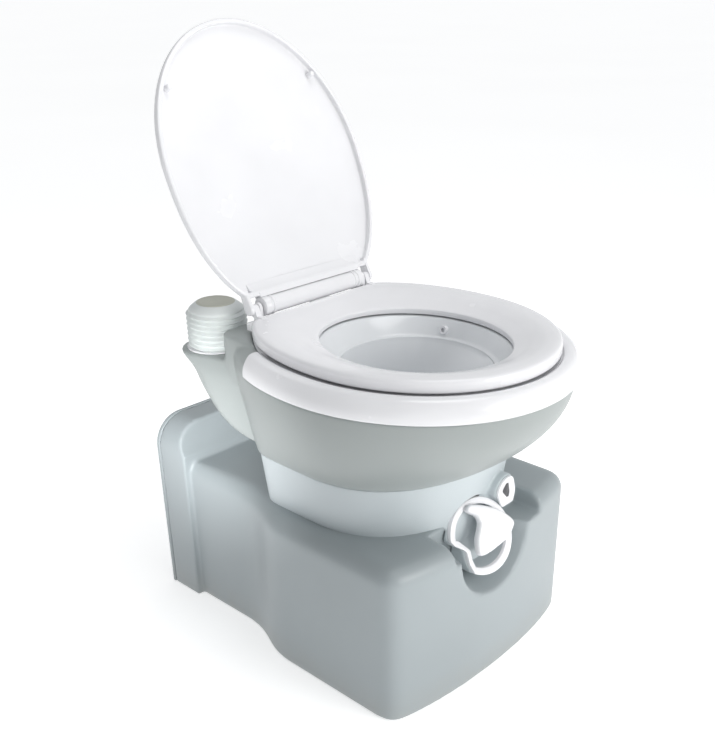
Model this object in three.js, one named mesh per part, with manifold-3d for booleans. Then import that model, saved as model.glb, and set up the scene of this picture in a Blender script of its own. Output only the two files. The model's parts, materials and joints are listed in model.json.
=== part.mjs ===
// A portable cassette toilet for a caravan: a waste tank with a slide valve, and an upper unit
// that lifts off it with the bowl, the flush-water tank, a bellows pump, the seat and the lid.
// Millimetres. +Z is up, the front is towards -Y, and the origin is on the floor under the middle
// of the waste tank. The lid is open and the seat is down.
import * as THREE from 'three';
import { mergeVertices } from 'three/addons/utils/BufferGeometryUtils.js';
import Module from 'manifold-3d';

const wasm = await Module();
wasm.setup();

// ---- Driving dimensions -------------------------------------------------------------------
const FIT_GAP = 0.3;             // between pieces that touch
const RING_POINTS = 32;          // points round every bowl-like outline

// waste tank
const TANK_HALF_WIDTH = 191;
const TANK_WAIST = 160;          // half width behind the bulge
const TANK_FRONT = -258;
const TANK_BACK = 258;
const TANK_TOP = 228;
const TANK_EDGE_RADIUS = 24;
const TANK_WALL = 4;
const PANEL_HALF_WIDTH = 166;
const PANEL_TOP = 281;
const PANEL_CORNER = 45;
const PANEL_FRONT = 192;
const COVER_THICKNESS = 8;

// valve recess in the tank's front, and the slide valve
const RECESS_MOUTH_RADIUS = 74;
const RECESS_RADIUS = 56;
const RECESS_BACK = -203;
const NOTCH_LEFT = -86;
const NOTCH_RIGHT = 102;
const NOTCH_FLOOR = 203;
const FACE = new THREE.Vector3(-5, -230, 203);          // middle of the sloping valve face
const FACE_TILT = THREE.MathUtils.degToRad(27);         // leaning back
const FACE_TURN = THREE.MathUtils.degToRad(-10);        // turned to the left
const FACE_RADIUS = 52;
const FACE_DEPTH = 5;
const VALVE_Y = -55;             // middle of the valve port
const VALVE_Z = 234;             // middle of the blade
const PORT_RADIUS = 38;
const BLADE_HALF = 44;
const BLADE_THICKNESS = 4;

// collar between the tank and the upper unit
const COLLAR_BOTTOM = TANK_TOP + FIT_GAP;
const COLLAR_TOP = 300;
const COLLAR_WALL = 4;
const COLLAR_CENTRE = -69;

// upper unit
const BOWL_CENTRE = -96;         // centre of the seat, rim and bowl outlines
const RIM_BOTTOM = 419;
const RIM_TOP = 443;
const RIM_BAND_END = 12;         // the white band runs round the front as far as this
const SHELL_TOP = 437;
const SHELL_WALL = 5;
const DECK_Z = 407;
const DECK_HALF_WIDTH = 163;
const DECK_BACK = 208;
const FAIRING_TOP = 445;         // the low walls between the rim and the pump
const FAIRING_HALF_WIDTH = 150;
const PUMP_X = -117;
const PUMP_Y = 161;
const BELLOWS_RADIUS = 42;
const BELLOWS_TOP = 472;
const CAP_X = 112;               // fresh-water filler cap
const CAP_Y = 161;

// seat and lid
const SEAT_HALF_WIDTH = 180;
const SEAT_FRONT = 204;
const SEAT_BACK = 218;
const SEAT_BOTTOM = 446.5;
const SEAT_EDGE_TOP = 464;
const SEAT_CUT = 70;             // the seat is cut straight here, in front of the hinge
const HINGE_Y = 86;
const HINGE_Z = 473;
const PIN_RADIUS = 4;
const ROD_RADIUS = 3;
const BARREL_RADIUS = 11;
const BARREL_HALF = 94;
const LID_SCALE = 0.945;
const LID_BOTTOM = 466.5;
const LID_LEAN = THREE.MathUtils.degToRad(114);   // how far the lid is swung open

// ---- Materials ----------------------------------------------------------------------------
function plastic(colour, roughness, metalness = 0) {
  return new THREE.MeshStandardMaterial({ color: colour, roughness, metalness });
}
const shellGrey = plastic(0xa3aba7, 0.5);
const tankGrey = plastic(0xa4acac, 0.5);
const collarGrey = plastic(0xb9c1c3, 0.45);
const glossWhite = plastic(0xeeeef2, 0.2);
const bowlCream = plastic(0xd6d7d2, 0.15);
const bellowsRubber = plastic(0xdde3de, 0.6);
const blackRubber = plastic(0x222222, 0.8);
const darkWindow = plastic(0x3a3c3e, 0.2);
const redPlastic = plastic(0xb03028, 0.4);
const steel = plastic(0xc8c8c8, 0.3, 1);

// ---- Solids -------------------------------------------------------------------------------
function solid(geometry) {
  const bare = geometry.clone();
  bare.deleteAttribute('normal');
  bare.deleteAttribute('uv');
  const merged = mergeVertices(bare, 1e-3);
  const vertProperties = new Float32Array(merged.attributes.position.array);
  const triVerts = new Uint32Array(merged.index.array);
  return new wasm.Manifold(new wasm.Mesh({ numProp: 3, vertProperties, triVerts }));
}

function surface(shape) {
  const mesh = shape.getMesh();
  const geometry = new THREE.BufferGeometry();
  geometry.setAttribute('position', new THREE.BufferAttribute(new Float32Array(mesh.vertProperties), 3));
  geometry.setIndex(new THREE.BufferAttribute(new Uint32Array(mesh.triVerts), 1));
  return mergeVertices(geometry, 1e-3);
}

function join(first, ...others) {
  return others.reduce((sum, other) => sum.add(other), first);
}

function cut(first, ...others) {
  return others.reduce((rest, other) => rest.subtract(other), first);
}

function block(x0, x1, y0, y1, z0, z1) {
  const geometry = new THREE.BoxGeometry(x1 - x0, y1 - y0, z1 - z0);
  geometry.translate((x0 + x1) / 2, (y0 + y1) / 2, (z0 + z1) / 2);
  return solid(geometry);
}

// An upright cylinder, or a cone where the two radii differ.
function drum(x, y, z0, z1, radius, sides = 20, topRadius = radius) {
  const geometry = new THREE.CylinderGeometry(topRadius, radius, z1 - z0, sides);
  geometry.rotateX(Math.PI / 2);
  geometry.translate(x, y, (z0 + z1) / 2);
  return solid(geometry);
}

// A round bar between two points.
function bar(from, to, radius, sides = 12) {
  const start = new THREE.Vector3(...from);
  const along = new THREE.Vector3(...to).sub(start);
  const geometry = new THREE.CylinderGeometry(radius, radius, along.length(), sides);
  const turn = new THREE.Quaternion().setFromUnitVectors(
    new THREE.Vector3(0, 1, 0), along.clone().normalize());
  geometry.applyQuaternion(turn);
  geometry.translate(start.x + along.x / 2, start.y + along.y / 2, start.z + along.z / 2);
  return solid(geometry);
}

function ring(x, y, z0, z1, inner, outer, sides = 20) {
  return cut(drum(x, y, z0, z1, outer, sides), drum(x, y, z0 - 1, z1 + 1, inner, sides));
}

function ball(x, y, z, radius) {
  const geometry = new THREE.SphereGeometry(radius, 12, 8);
  geometry.translate(x, y, z);
  return solid(geometry);
}

// A turned piece: profile points are [radius, height] and start and end on the axis.
function turned(x, y, profile, sides = 20) {
  const points = profile.map(([radius, height]) => new THREE.Vector2(radius, height));
  const geometry = new THREE.LatheGeometry(points, sides);
  geometry.rotateX(Math.PI / 2);
  geometry.translate(x, y, 0);
  return solid(geometry);
}

// A plan outline drawn upwards from z0 to z1.
function slab(shape, z0, z1, curveSegments = 8) {
  const geometry = new THREE.ExtrudeGeometry(shape, { depth: z1 - z0, bevelEnabled: false, curveSegments });
  geometry.translate(0, 0, z0);
  return solid(geometry);
}

// A side outline, in [y, z], drawn from x0 to x1.
function sideSlab(points, x0, x1) {
  const shape = new THREE.Shape(points.map(([y, z]) => new THREE.Vector2(y, z)));
  const geometry = new THREE.ExtrudeGeometry(shape, { depth: x1 - x0, bevelEnabled: false });
  geometry.rotateY(Math.PI / 2);
  geometry.rotateX(Math.PI / 2);
  geometry.translate(x0, 0, 0);
  return solid(geometry);
}

function meshOfRings(rings, closed) {
  const count = rings[0].length;
  const positions = rings.flat().flatMap(({ x, y, z }) => [x, y, z]);
  const index = [];
  const steps = closed ? rings.length : rings.length - 1;
  for (let r = 0; r < steps; r += 1) {
    const low = r * count;
    const high = ((r + 1) % rings.length) * count;
    for (let i = 0; i < count; i += 1) {
      const next = (i + 1) % count;
      index.push(low + i, low + next, high + next);
      index.push(low + i, high + next, high + i);
    }
  }
  if (!closed) {
    for (const [start, flipped] of [[0, true], [(rings.length - 1) * count, false]]) {
      const face = rings[start / count].map(({ x, y }) => new THREE.Vector2(x, y));
      for (const [a, b, c] of THREE.ShapeUtils.triangulateShape(face, [])) {
        const corners = flipped ? [a, c, b] : [a, b, c];
        index.push(...corners.map((corner) => start + corner));
      }
    }
  }
  const geometry = new THREE.BufferGeometry();
  geometry.setAttribute('position', new THREE.Float32BufferAttribute(positions, 3));
  geometry.setIndex(index);
  return solid(geometry);
}

// A skin through outlines of equal count, anticlockwise from above and from the bottom up.
function loft(rings) {
  return meshOfRings(rings, false);
}

// A closed band: the outlines go once round the band's own section, outside first, upwards.
function hoop(rings) {
  return meshOfRings(rings, true);
}

// ---- Outlines -----------------------------------------------------------------------------
// An egg: a half superellipse in front of the centre and another behind it.
function egg({ half, front, back, centre, frontPower = 2, backPower = 2.2 }) {
  return (angle) => {
    const side = Math.abs(Math.sin(angle));
    const along = Math.cos(angle);
    const length = along > 0 ? front : back;
    const power = along > 0 ? frontPower : backPower;
    const radius = ((side / half) ** power + (Math.abs(along) / length) ** power) ** (-1 / power);
    return { x: radius * Math.sin(angle), y: centre - radius * along };
  };
}

// The outline's points at one height; angle 0 is the front and the points run anticlockwise.
function ringAt(outline, z, count = RING_POINTS) {
  return Array.from({ length: count }, (_, i) => {
    const { x, y } = outline((i / count) * 2 * Math.PI);
    return { x, y, z };
  });
}

function blend(from, to, share) {
  return (angle) => {
    const a = from(angle);
    const b = to(angle);
    return { x: a.x + (b.x - a.x) * share, y: a.y + (b.y - a.y) * share };
  };
}

const seatEgg = { half: SEAT_HALF_WIDTH, front: SEAT_FRONT, back: SEAT_BACK, centre: BOWL_CENTRE };
const mouthEgg = { half: 117, front: 134, back: 132, centre: BOWL_CENTRE - 9, backPower: 2 };

function grown(shape, sides, front = sides, back = sides) {
  return {
    ...shape,
    half: shape.half + sides,
    front: shape.front + front,
    back: shape.back + back,
  };
}

const collarPlan = {
  half: 166, front: 152, back: 112, centre: COLLAR_CENTRE, frontPower: 2.25, backPower: 9,
};

// Moves each point of a closed anticlockwise outline inwards, square to the outline.
function inset(points, distance) {
  return points.map((point, i) => {
    const before = points[(i + points.length - 1) % points.length];
    const after = points[(i + 1) % points.length];
    const along = new THREE.Vector2(after.x - before.x, after.y - before.y).normalize();
    return { x: point.x - along.y * distance, y: point.y + along.x * distance };
  });
}

// Half of the tank's plan, from the middle of the front round to the back; then mirrored.
function tankOutline(back) {
  const half = new THREE.Path();
  half.moveTo(0, TANK_FRONT);
  half.quadraticCurveTo(85, TANK_FRONT, 150, TANK_FRONT + 14);
  half.bezierCurveTo(176, TANK_FRONT + 20, TANK_HALF_WIDTH, -236, TANK_HALF_WIDTH, -204);
  half.lineTo(TANK_HALF_WIDTH, -48);
  half.bezierCurveTo(TANK_HALF_WIDTH, 4, TANK_WAIST, 14, TANK_WAIST, 76);
  half.lineTo(TANK_WAIST, back);
  const right = half.getPoints(5);
  const left = right.slice(1).reverse().map(({ x, y }) => ({ x: -x, y }));
  return [...right, ...left];
}

function atHeight(points, z) {
  return points.map(({ x, y }) => ({ x, y, z }));
}

function panelShape(shrink) {
  const half = PANEL_HALF_WIDTH - shrink;
  const top = PANEL_TOP - shrink;
  const corner = PANEL_CORNER - shrink;
  const shape = new THREE.Shape();
  shape.moveTo(-half, shrink);
  shape.lineTo(half, shrink);
  shape.lineTo(half, top - corner);
  shape.absarc(half - corner, top - corner, corner, 0, Math.PI / 2, false);
  shape.lineTo(-half + corner, top);
  shape.absarc(-half + corner, top - corner, corner, Math.PI / 2, Math.PI, false);
  shape.lineTo(-half, shrink);
  return shape;
}

// The panel's outline, standing upright, from y0 back to y1.
function uprightPanel(shrink, y0, y1) {
  const geometry = new THREE.ExtrudeGeometry(
    panelShape(shrink), { depth: y1 - y0, bevelEnabled: false, curveSegments: 5 });
  geometry.rotateX(Math.PI / 2);
  geometry.translate(0, y1, 0);
  return solid(geometry);
}

// ---- Waste tank ---------------------------------------------------------------------------
// The hollow in front of the rear panel, above the tank's top: a concave sweep up to the panel.
function panelScoop(grow) {
  const radius = 42 + grow;
  const centreY = 188;
  const centreZ = TANK_TOP + 42;
  const sweep = bar([-200, centreY, centreZ], [200, centreY, centreZ], radius, 28);
  const above = block(-200, 200, 100, centreY + radius, centreZ, 320);
  const before = block(-200, 200, 100, centreY, centreZ - radius, 320);
  return join(sweep, above, before);
}

// Room for the valve's face in the tank's front, and the step above it.
function valveRecess(grow) {
  const neckY = -214 + grow;
  const front = TANK_FRONT - 4;
  const mouth = drum(0, 0, 0, neckY - front, RECESS_MOUTH_RADIUS + grow, 24, RECESS_RADIUS + grow)
    .rotate([-90, 0, 0]).translate([FACE.x, front, NOTCH_FLOOR]);
  const round = bar(
    [FACE.x, front, NOTCH_FLOOR], [FACE.x, RECESS_BACK + grow, NOTCH_FLOOR],
    RECESS_RADIUS + grow, 24);
  const notch = block(
    NOTCH_LEFT - grow, NOTCH_RIGHT + grow, front, RECESS_BACK + grow,
    NOTCH_FLOOR - grow, TANK_TOP + 20);
  return join(mouth, round, notch);
}

function tankBody() {
  const outline = tankOutline(236);
  const rings = [atHeight(inset(outline, 5), 0), atHeight(outline, 7)];
  const steps = 4;
  for (let i = 0; i <= steps; i += 1) {
    const angle = (i / steps) * Math.PI / 2;
    const inward = TANK_EDGE_RADIUS * (1 - Math.cos(angle));
    const z = TANK_TOP - TANK_EDGE_RADIUS * (1 - Math.sin(angle));
    rings.push(atHeight(inset(outline, inward), z));
  }
  return loft(rings);
}

function tankCavity() {
  const outline = inset(tankOutline(232), TANK_WALL);
  const shoulder = TANK_TOP - TANK_EDGE_RADIUS;
  const belly = loft([
    atHeight(inset(outline, 3), TANK_WALL),
    atHeight(outline, 11),
    atHeight(outline, shoulder),
    atHeight(inset(outline, TANK_EDGE_RADIUS * 0.6), TANK_TOP - TANK_WALL),
  ]);
  const panel = cut(
    uprightPanel(
      TANK_WALL, PANEL_FRONT + TANK_WALL, TANK_BACK - COVER_THICKNESS - TANK_WALL),
    panelScoop(TANK_WALL));
  return cut(join(belly, panel), valveRecess(TANK_WALL));
}

const SPOUT = { x: 92, y: 112 };
const VENT = { x: 30, y: 118 };

function holdingTank() {
  const panel = cut(uprightPanel(0, PANEL_FRONT, TANK_BACK - COVER_THICKNESS), panelScoop(0));
  const port = drum(0, VALVE_Y, TANK_TOP - 10, TANK_TOP + 2, PORT_RADIUS + 14);
  const spoutHole = drum(SPOUT.x, SPOUT.y, TANK_TOP - 10, TANK_TOP + 2, 26);
  const ventHole = drum(VENT.x, VENT.y, TANK_TOP - 10, TANK_TOP + 2, 7, 16);
  return cut(join(tankBody(), panel), valveRecess(0), tankCavity(), port, spoutHole, ventHole);
}

// The moulded plate that closes the back of the tank, with a finger grip near its top.
function rearCover() {
  const plate = uprightPanel(0, TANK_BACK - COVER_THICKNESS + FIT_GAP, TANK_BACK);
  const grip = block(-55, 55, TANK_BACK - 5, TANK_BACK + 1, 196, 226);
  return cut(plate, grip);
}

// ---- Valve collar and its face ------------------------------------------------------------
const faceAcross = new THREE.Vector3(Math.cos(FACE_TURN), Math.sin(FACE_TURN), 0);
const faceNormal = new THREE.Vector3(
  Math.sin(FACE_TURN) * Math.cos(FACE_TILT), -Math.cos(FACE_TURN) * Math.cos(FACE_TILT),
  Math.sin(FACE_TILT));
const faceUp = faceNormal.clone().cross(faceAcross);
const forwards = new THREE.Vector3(0, -1, 0);

// Draws an outline on the sloping valve face, from one depth to another along the given way.
function onFace(shape, from, to, way = forwards) {
  const geometry = new THREE.ExtrudeGeometry(
    shape, { depth: to - from, bevelEnabled: false, curveSegments: 5 });
  geometry.translate(0, 0, from);
  const basis = new THREE.Matrix4().makeBasis(faceAcross, faceUp, way).setPosition(FACE);
  geometry.applyMatrix4(basis);
  return solid(geometry);
}

// The valve face: round, with a step at its lower left for the fingers.
function faceShape(shrink) {
  const radius = FACE_RADIUS - shrink;
  const shape = new THREE.Shape();
  shape.absarc(0, 0, radius, -Math.PI * 0.56, Math.PI * 0.95, false);
  shape.lineTo(-47 + shrink, 1 + shrink * 0.4);
  shape.lineTo(-34 + shrink * 0.8, -9);
  shape.quadraticCurveTo(-30 + shrink * 0.8, -12, -32 + shrink * 0.8, -26 + shrink * 0.5);
  shape.quadraticCurveTo(-30 + shrink * 0.8, -44 + shrink, -10, -radius * 0.98);
  return shape;
}

const OPENING_INSET = 9;

function valveBezel() {
  return cut(
    onFace(faceShape(0), -FACE_DEPTH, 0), onFace(faceShape(OPENING_INSET), -FACE_DEPTH - 1, 1));
}

// The space behind the face: the tank's recess, and a little deeper where it is inside the collar.
function valveRoom() {
  const low = block(-90, 90, -262, RECESS_BACK - 1, 120, 290);
  const high = block(-90, 90, -262, -193, COLLAR_BOTTOM, 290);
  return join(low, high);
}

function bossSolid() {
  const boss = onFace(faceShape(-1.5), -60, -FACE_DEPTH - FIT_GAP);
  return boss.intersect(valveRoom());
}

function teardrop(shrink) {
  const shape = new THREE.Shape();
  shape.moveTo(-9 + shrink * 0.4, -21 + shrink);
  shape.lineTo(15 - shrink, -21 + shrink);
  shape.lineTo(20 - shrink, -5);
  shape.quadraticCurveTo(16 - shrink, 21 - shrink, 0, 21 - shrink);
  shape.quadraticCurveTo(-20 + shrink, 20 - shrink, -20 + shrink, 5);
  shape.lineTo(-9 + shrink * 0.4, -21 + shrink);
  return shape;
}

// The level window sits to the right of the valve's face, on a small boss of its own.
const WINDOW_X = 51;
const WINDOW_Z = 247;
const WINDOW_Y = -228;

function ontoWindow(shape) {
  return shape.rotate([90, 0, 0]).translate([WINDOW_X, WINDOW_Y, WINDOW_Z]);
}

function collarRing(shrink, z) {
  const share = (z - COLLAR_BOTTOM) / (COLLAR_TOP - COLLAR_BOTTOM);
  const foot = grown(collarPlan, -2 - shrink, -7 - shrink, -shrink);
  const head = grown(collarPlan, -shrink);
  return ringAt(blend(egg(foot), egg(head), share), z);
}

function valveCollar() {
  const wall = loft([collarRing(0, COLLAR_BOTTOM), collarRing(0, COLLAR_TOP)]);
  const inside = loft([
    collarRing(COLLAR_WALL, COLLAR_BOTTOM - 1),
    collarRing(COLLAR_WALL, COLLAR_TOP - COLLAR_WALL),
  ]);
  const throat = drum(0, VALVE_Y, COLLAR_TOP - 10, COLLAR_TOP + 5, 72, 24);
  const windowBoss = ontoWindow(slab(teardrop(-2), -40, -3 - FIT_GAP, 4)).intersect(valveRoom());
  const windowWell = ontoWindow(slab(teardrop(6), -22, 2));
  const sunk = join(
    onFace(faceShape(-3), -FACE_DEPTH - FIT_GAP, 60), onFace(faceShape(-3), 0, 60, faceNormal));
  const fingerWell = onFace(faceShape(OPENING_INSET), -28, 2).intersect(
    block(-90, 90, -300, RECESS_BACK - 4, 100, 300));
  const rodHole = bar([0, -300, VALVE_Z], [0, -150, VALVE_Z], ROD_RADIUS + 1);
  const front = cut(join(cut(wall, inside), windowBoss), sunk);
  const skin = cut(join(front, bossSolid()), throat);
  return cut(skin, fingerWell, windowWell, rodHole);
}

function indicatorBezel() {
  return ontoWindow(cut(slab(teardrop(0), -3, 0), slab(teardrop(7), -4, 1)));
}

function indicatorLens() {
  return ontoWindow(slab(teardrop(7 + FIT_GAP), -3, -1));
}

// ---- Slide valve --------------------------------------------------------------------------
const FRAME_HALF = 66;
const FRAME_FRONT = -188;
const FRAME_REAR = 0;
const UPPER_PLATE_TOP = VALVE_Z + 7;

function valveFrameLower() {
  const top = VALVE_Z + 3.3;
  const floor = VALVE_Z - 3.4;
  const plate = block(-FRAME_HALF, FRAME_HALF, FRAME_FRONT, FRAME_REAR, TANK_TOP + 0.6, floor);
  const rails = [-1, 1].map((side) => block(
    side * 56 - 10, side * 56 + 10, FRAME_FRONT, FRAME_REAR, floor - 1, top));
  const stop = block(-FRAME_HALF, FRAME_HALF, FRAME_REAR - 8, FRAME_REAR, floor - 1, top);
  const port = drum(0, VALVE_Y, TANK_TOP, top + 1, PORT_RADIUS);
  return cut(join(plate, ...rails, stop), port);
}

function valveFrameUpper() {
  const plate = block(
    -FRAME_HALF, FRAME_HALF, FRAME_FRONT, FRAME_REAR, VALVE_Z + 3.6, UPPER_PLATE_TOP);
  const port = drum(0, VALVE_Y, VALVE_Z, UPPER_PLATE_TOP + 1, PORT_RADIUS);
  return cut(plate, port);
}

function valveBlade() {
  const half = BLADE_THICKNESS / 2;
  return block(
    -BLADE_HALF, BLADE_HALF, VALVE_Y - BLADE_HALF, VALVE_Y + BLADE_HALF,
    VALVE_Z - half, VALVE_Z + half);
}

// One seal below the blade (side -1) and one above it.
function valveSeal(side) {
  const [low, high] = side < 0 ? [VALVE_Z - 3.1, VALVE_Z - 2.3] : [VALVE_Z + 2.3, VALVE_Z + 3.3];
  return ring(0, VALVE_Y, low, high, PORT_RADIUS + 0.5, PORT_RADIUS + 4.5);
}

const HANDLE_THICKNESS = 15;

// The pull handle: a wing that covers the upper right of the face and leaves the finger well open.
function pullHandle() {
  const wing = new THREE.Shape();
  wing.moveTo(-18, 41);
  wing.quadraticCurveTo(-16, 48, -8, 47);
  wing.quadraticCurveTo(16, 40, 36, 25);
  wing.lineTo(54, 6);
  wing.quadraticCurveTo(58, 0, 52, -5);
  wing.quadraticCurveTo(26, -22, -10, -25);
  wing.quadraticCurveTo(-20, -24, -19, -16);
  wing.quadraticCurveTo(-18, 0, -6, 12);
  wing.quadraticCurveTo(0, 22, -8, 32);
  wing.quadraticCurveTo(-18, 36, -18, 41);
  const geometry = new THREE.ExtrudeGeometry(wing, {
    depth: HANDLE_THICKNESS - 6, bevelThickness: 3, bevelSize: 3, bevelOffset: -3,
    bevelSegments: 2, curveSegments: 3,
  });
  geometry.translate(0, 0, 3 + FIT_GAP);
  geometry.applyMatrix4(
    new THREE.Matrix4().makeBasis(faceAcross, faceUp, faceNormal).setPosition(FACE));
  return solid(geometry);
}

const ROD_BACK = VALVE_Y - BLADE_HALF - FIT_GAP;

function valveRod() {
  const rod = bar([0, FACE.y - 20, VALVE_Z], [0, ROD_BACK, VALVE_Z], ROD_RADIUS);
  const tail = block(-9, 9, ROD_BACK - 13, ROD_BACK, VALVE_Z - 2, VALVE_Z + 2);
  const ahead = new THREE.Shape().absarc(0, 0, 80, 0, 2 * Math.PI, false);
  return cut(join(rod, tail), onFace(ahead, 0, 60, faceNormal));
}

// ---- Pour-out spout, air vent and level float ----------------------------------------------
function pourSpout() {
  const base = TANK_TOP + FIT_GAP;
  return join(
    ring(SPOUT.x, SPOUT.y, base, base + 4, 22, 33),
    ring(SPOUT.x, SPOUT.y, base + 3, base + 22, 22, 25));
}

function spoutSeal() {
  return ring(SPOUT.x, SPOUT.y, TANK_TOP + 22.6, TANK_TOP + 24.6, 21.5, 26);
}

function spoutCap() {
  const z = TANK_TOP + 5;
  const body = drum(SPOUT.x, SPOUT.y, z, z + 23, 30);
  const hollow = drum(SPOUT.x, SPOUT.y, z - 1, z + 20, 26.5);
  const grips = [0, 1, 2].map((i) => {
    const angle = i * Math.PI / 3;
    const x = 32 * Math.cos(angle);
    const y = 32 * Math.sin(angle);
    return bar([SPOUT.x - x, SPOUT.y - y, z + 18], [SPOUT.x + x, SPOUT.y + y, z + 18], 3, 8);
  });
  return cut(join(body, ...grips), hollow);
}

function ventBody() {
  const base = TANK_TOP + FIT_GAP;
  return join(
    ring(VENT.x, VENT.y, base, base + 3, 7, 16),
    ring(VENT.x, VENT.y, base + 2, base + 16, 12.5, 15));
}

function ventSpring() {
  return ring(VENT.x, VENT.y, TANK_TOP + 3.8, TANK_TOP + 13, 7.5, 10, 16);
}

function ventButton() {
  return join(
    drum(VENT.x, VENT.y, TANK_TOP + 13.4, TANK_TOP + 22, 12),
    drum(VENT.x, VENT.y, TANK_TOP + 4, TANK_TOP + 14, 5, 16));
}

const FLOAT_PIVOT = { x: 96, y: -120, z: 205 };

function floatBracket() {
  const { x, y, z } = FLOAT_PIVOT;
  const top = TANK_TOP - TANK_WALL - FIT_GAP;
  const foot = block(x - 13, x + 13, y - 10, y + 10, top - 3, top);
  const cheeks = [-1, 1].map((side) => block(
    x + side * 10.5 - 2, x + side * 10.5 + 2, y - 8, y + 8, z - 8, top - 2));
  return cut(join(foot, ...cheeks), bar([x - 20, y, z], [x + 20, y, z], 3.3));
}

function floatPin() {
  const { x, y, z } = FLOAT_PIVOT;
  return bar([x - 14, y, z], [x + 14, y, z], 3, 12);
}

function levelFloat() {
  const { x, y, z } = FLOAT_PIVOT;
  const hub = bar([x - 7, y, z], [x + 7, y, z], 7);
  const arm = bar([x, y, z], [x, y + 120, z - 140], 3, 10);
  const bulb = ball(x, y + 126, z - 147, 22);
  return cut(join(hub, arm, bulb), bar([x - 20, y, z], [x + 20, y, z], 3.3));
}

const BOLT_X = 90;

function hingeBoltHoles() {
  return join(...[-1, 1].map((side) => drum(side * BOLT_X, HINGE_Y, 400, 460, 3.4, 14)));
}

// ---- Upper shell --------------------------------------------------------------------------
const shellEgg = grown(seatEgg, 26, 18, 24);

// The bowl-shaped front of the shell, from the collar's outline up to the rim's.
function shellFlare(shrink, z0, z1, steps) {
  const low = egg(grown(collarPlan, 2 - shrink, -shrink, -shrink));
  const high = egg(grown(shellEgg, -shrink));
  const bottom = COLLAR_TOP + FIT_GAP;
  const rings = [];
  for (let i = 0; i <= steps; i += 1) {
    const z = z0 + (z1 - z0) * (i / steps) ** 1.4;
    const rise = Math.min(1, (z - bottom) / (RIM_BOTTOM - bottom));
    const share = Math.sin(Math.PI / 2 * rise) ** 0.8;
    rings.push(ringAt(blend(low, high, share), z));
  }
  return loft(rings);
}

// The rear box's side outline: flat under the collar's back, then swept up to the deck's edge.
function rearProfile(shrink) {
  const bottom = COLLAR_TOP + FIT_GAP + shrink;
  const back = DECK_BACK - shrink;
  const sweep = new THREE.CubicBezierCurve(
    new THREE.Vector2(76, bottom), new THREE.Vector2(150, bottom),
    new THREE.Vector2(172, 350), new THREE.Vector2(back, DECK_Z - 4 - shrink));
  const under = sweep.getPoints(7).map(({ x, y }) => [x, y]);
  return [[-60, bottom], ...under, [back, DECK_Z - shrink], [-60, DECK_Z - shrink]];
}

function rearPlan(shrink) {
  const half = DECK_HALF_WIDTH - shrink;
  const back = DECK_BACK - shrink;
  const corner = 46 - shrink;
  const waist = 148 - shrink;
  const shape = new THREE.Shape();
  shape.moveTo(-waist, -80);
  shape.lineTo(waist, -80);
  shape.lineTo(waist, 90);
  shape.lineTo(half, back - corner);
  shape.absarc(half - corner, back - corner, corner, 0, Math.PI / 2, false);
  shape.lineTo(-half + corner, back);
  shape.absarc(-half + corner, back - corner, corner, Math.PI / 2, Math.PI, false);
  shape.lineTo(-waist, 90);
  shape.lineTo(-waist, -80);
  return shape;
}

function rearBox(shrink) {
  const side = sideSlab(rearProfile(shrink), -200, 200);
  return side.intersect(slab(rearPlan(shrink), 250, 460, 5));
}

// The raised part under the seat's hinge.
function hingeDeck(shrink) {
  const shape = new THREE.Shape();
  shape.moveTo(-146 + shrink, -20);
  shape.lineTo(146 - shrink, -20);
  shape.lineTo(132 - shrink, 112 - shrink);
  shape.lineTo(-132 + shrink, 112 - shrink);
  return slab(shape, DECK_Z - 30, SHELL_TOP - shrink);
}

// Behind the white band the shell itself carries on up to the rim's top.
function rearRim(shrink, top) {
  const skin = loft([
    ringAt(egg(grown(shellEgg, -shrink)), RIM_BOTTOM - 3 - shrink),
    ringAt(egg(grown(seatEgg, 22 - shrink, 15 - shrink, 20 - shrink)), 431 - shrink),
    ringAt(egg(grown(seatEgg, 4 - shrink)), RIM_TOP - 2 - shrink),
    ringAt(egg(grown(seatEgg, -shrink)), RIM_TOP - shrink),
  ]);
  const before = block(-300, 300, -400, RIM_BAND_END + FIT_GAP + shrink, 300, 500);
  return cut(skin, before, block(-300, 300, -400, 300, top, 500));
}

function fairing(side, shrink) {
  const outside = FAIRING_HALF_WIDTH - shrink;
  const front = RIM_BAND_END + 8 + shrink;
  const back = 112 - shrink;
  const shape = new THREE.Shape();
  shape.moveTo(side * (108 + shrink), front);
  shape.lineTo(side * outside, front);
  shape.lineTo(side * outside, back - 22);
  shape.quadraticCurveTo(side * outside, back, side * (outside - 22), back);
  shape.lineTo(side * (108 + shrink), back);
  return slab(shape, DECK_Z - 30, FAIRING_TOP - shrink, 4);
}

// The sunk place that the rim's top plate lies in.
function rimSeat(grow) {
  const outline = egg(grown(seatEgg, FIT_GAP - 1 + grow));
  return loft([ringAt(outline, SHELL_TOP - grow), ringAt(outline, FAIRING_TOP + 1)]);
}

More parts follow.
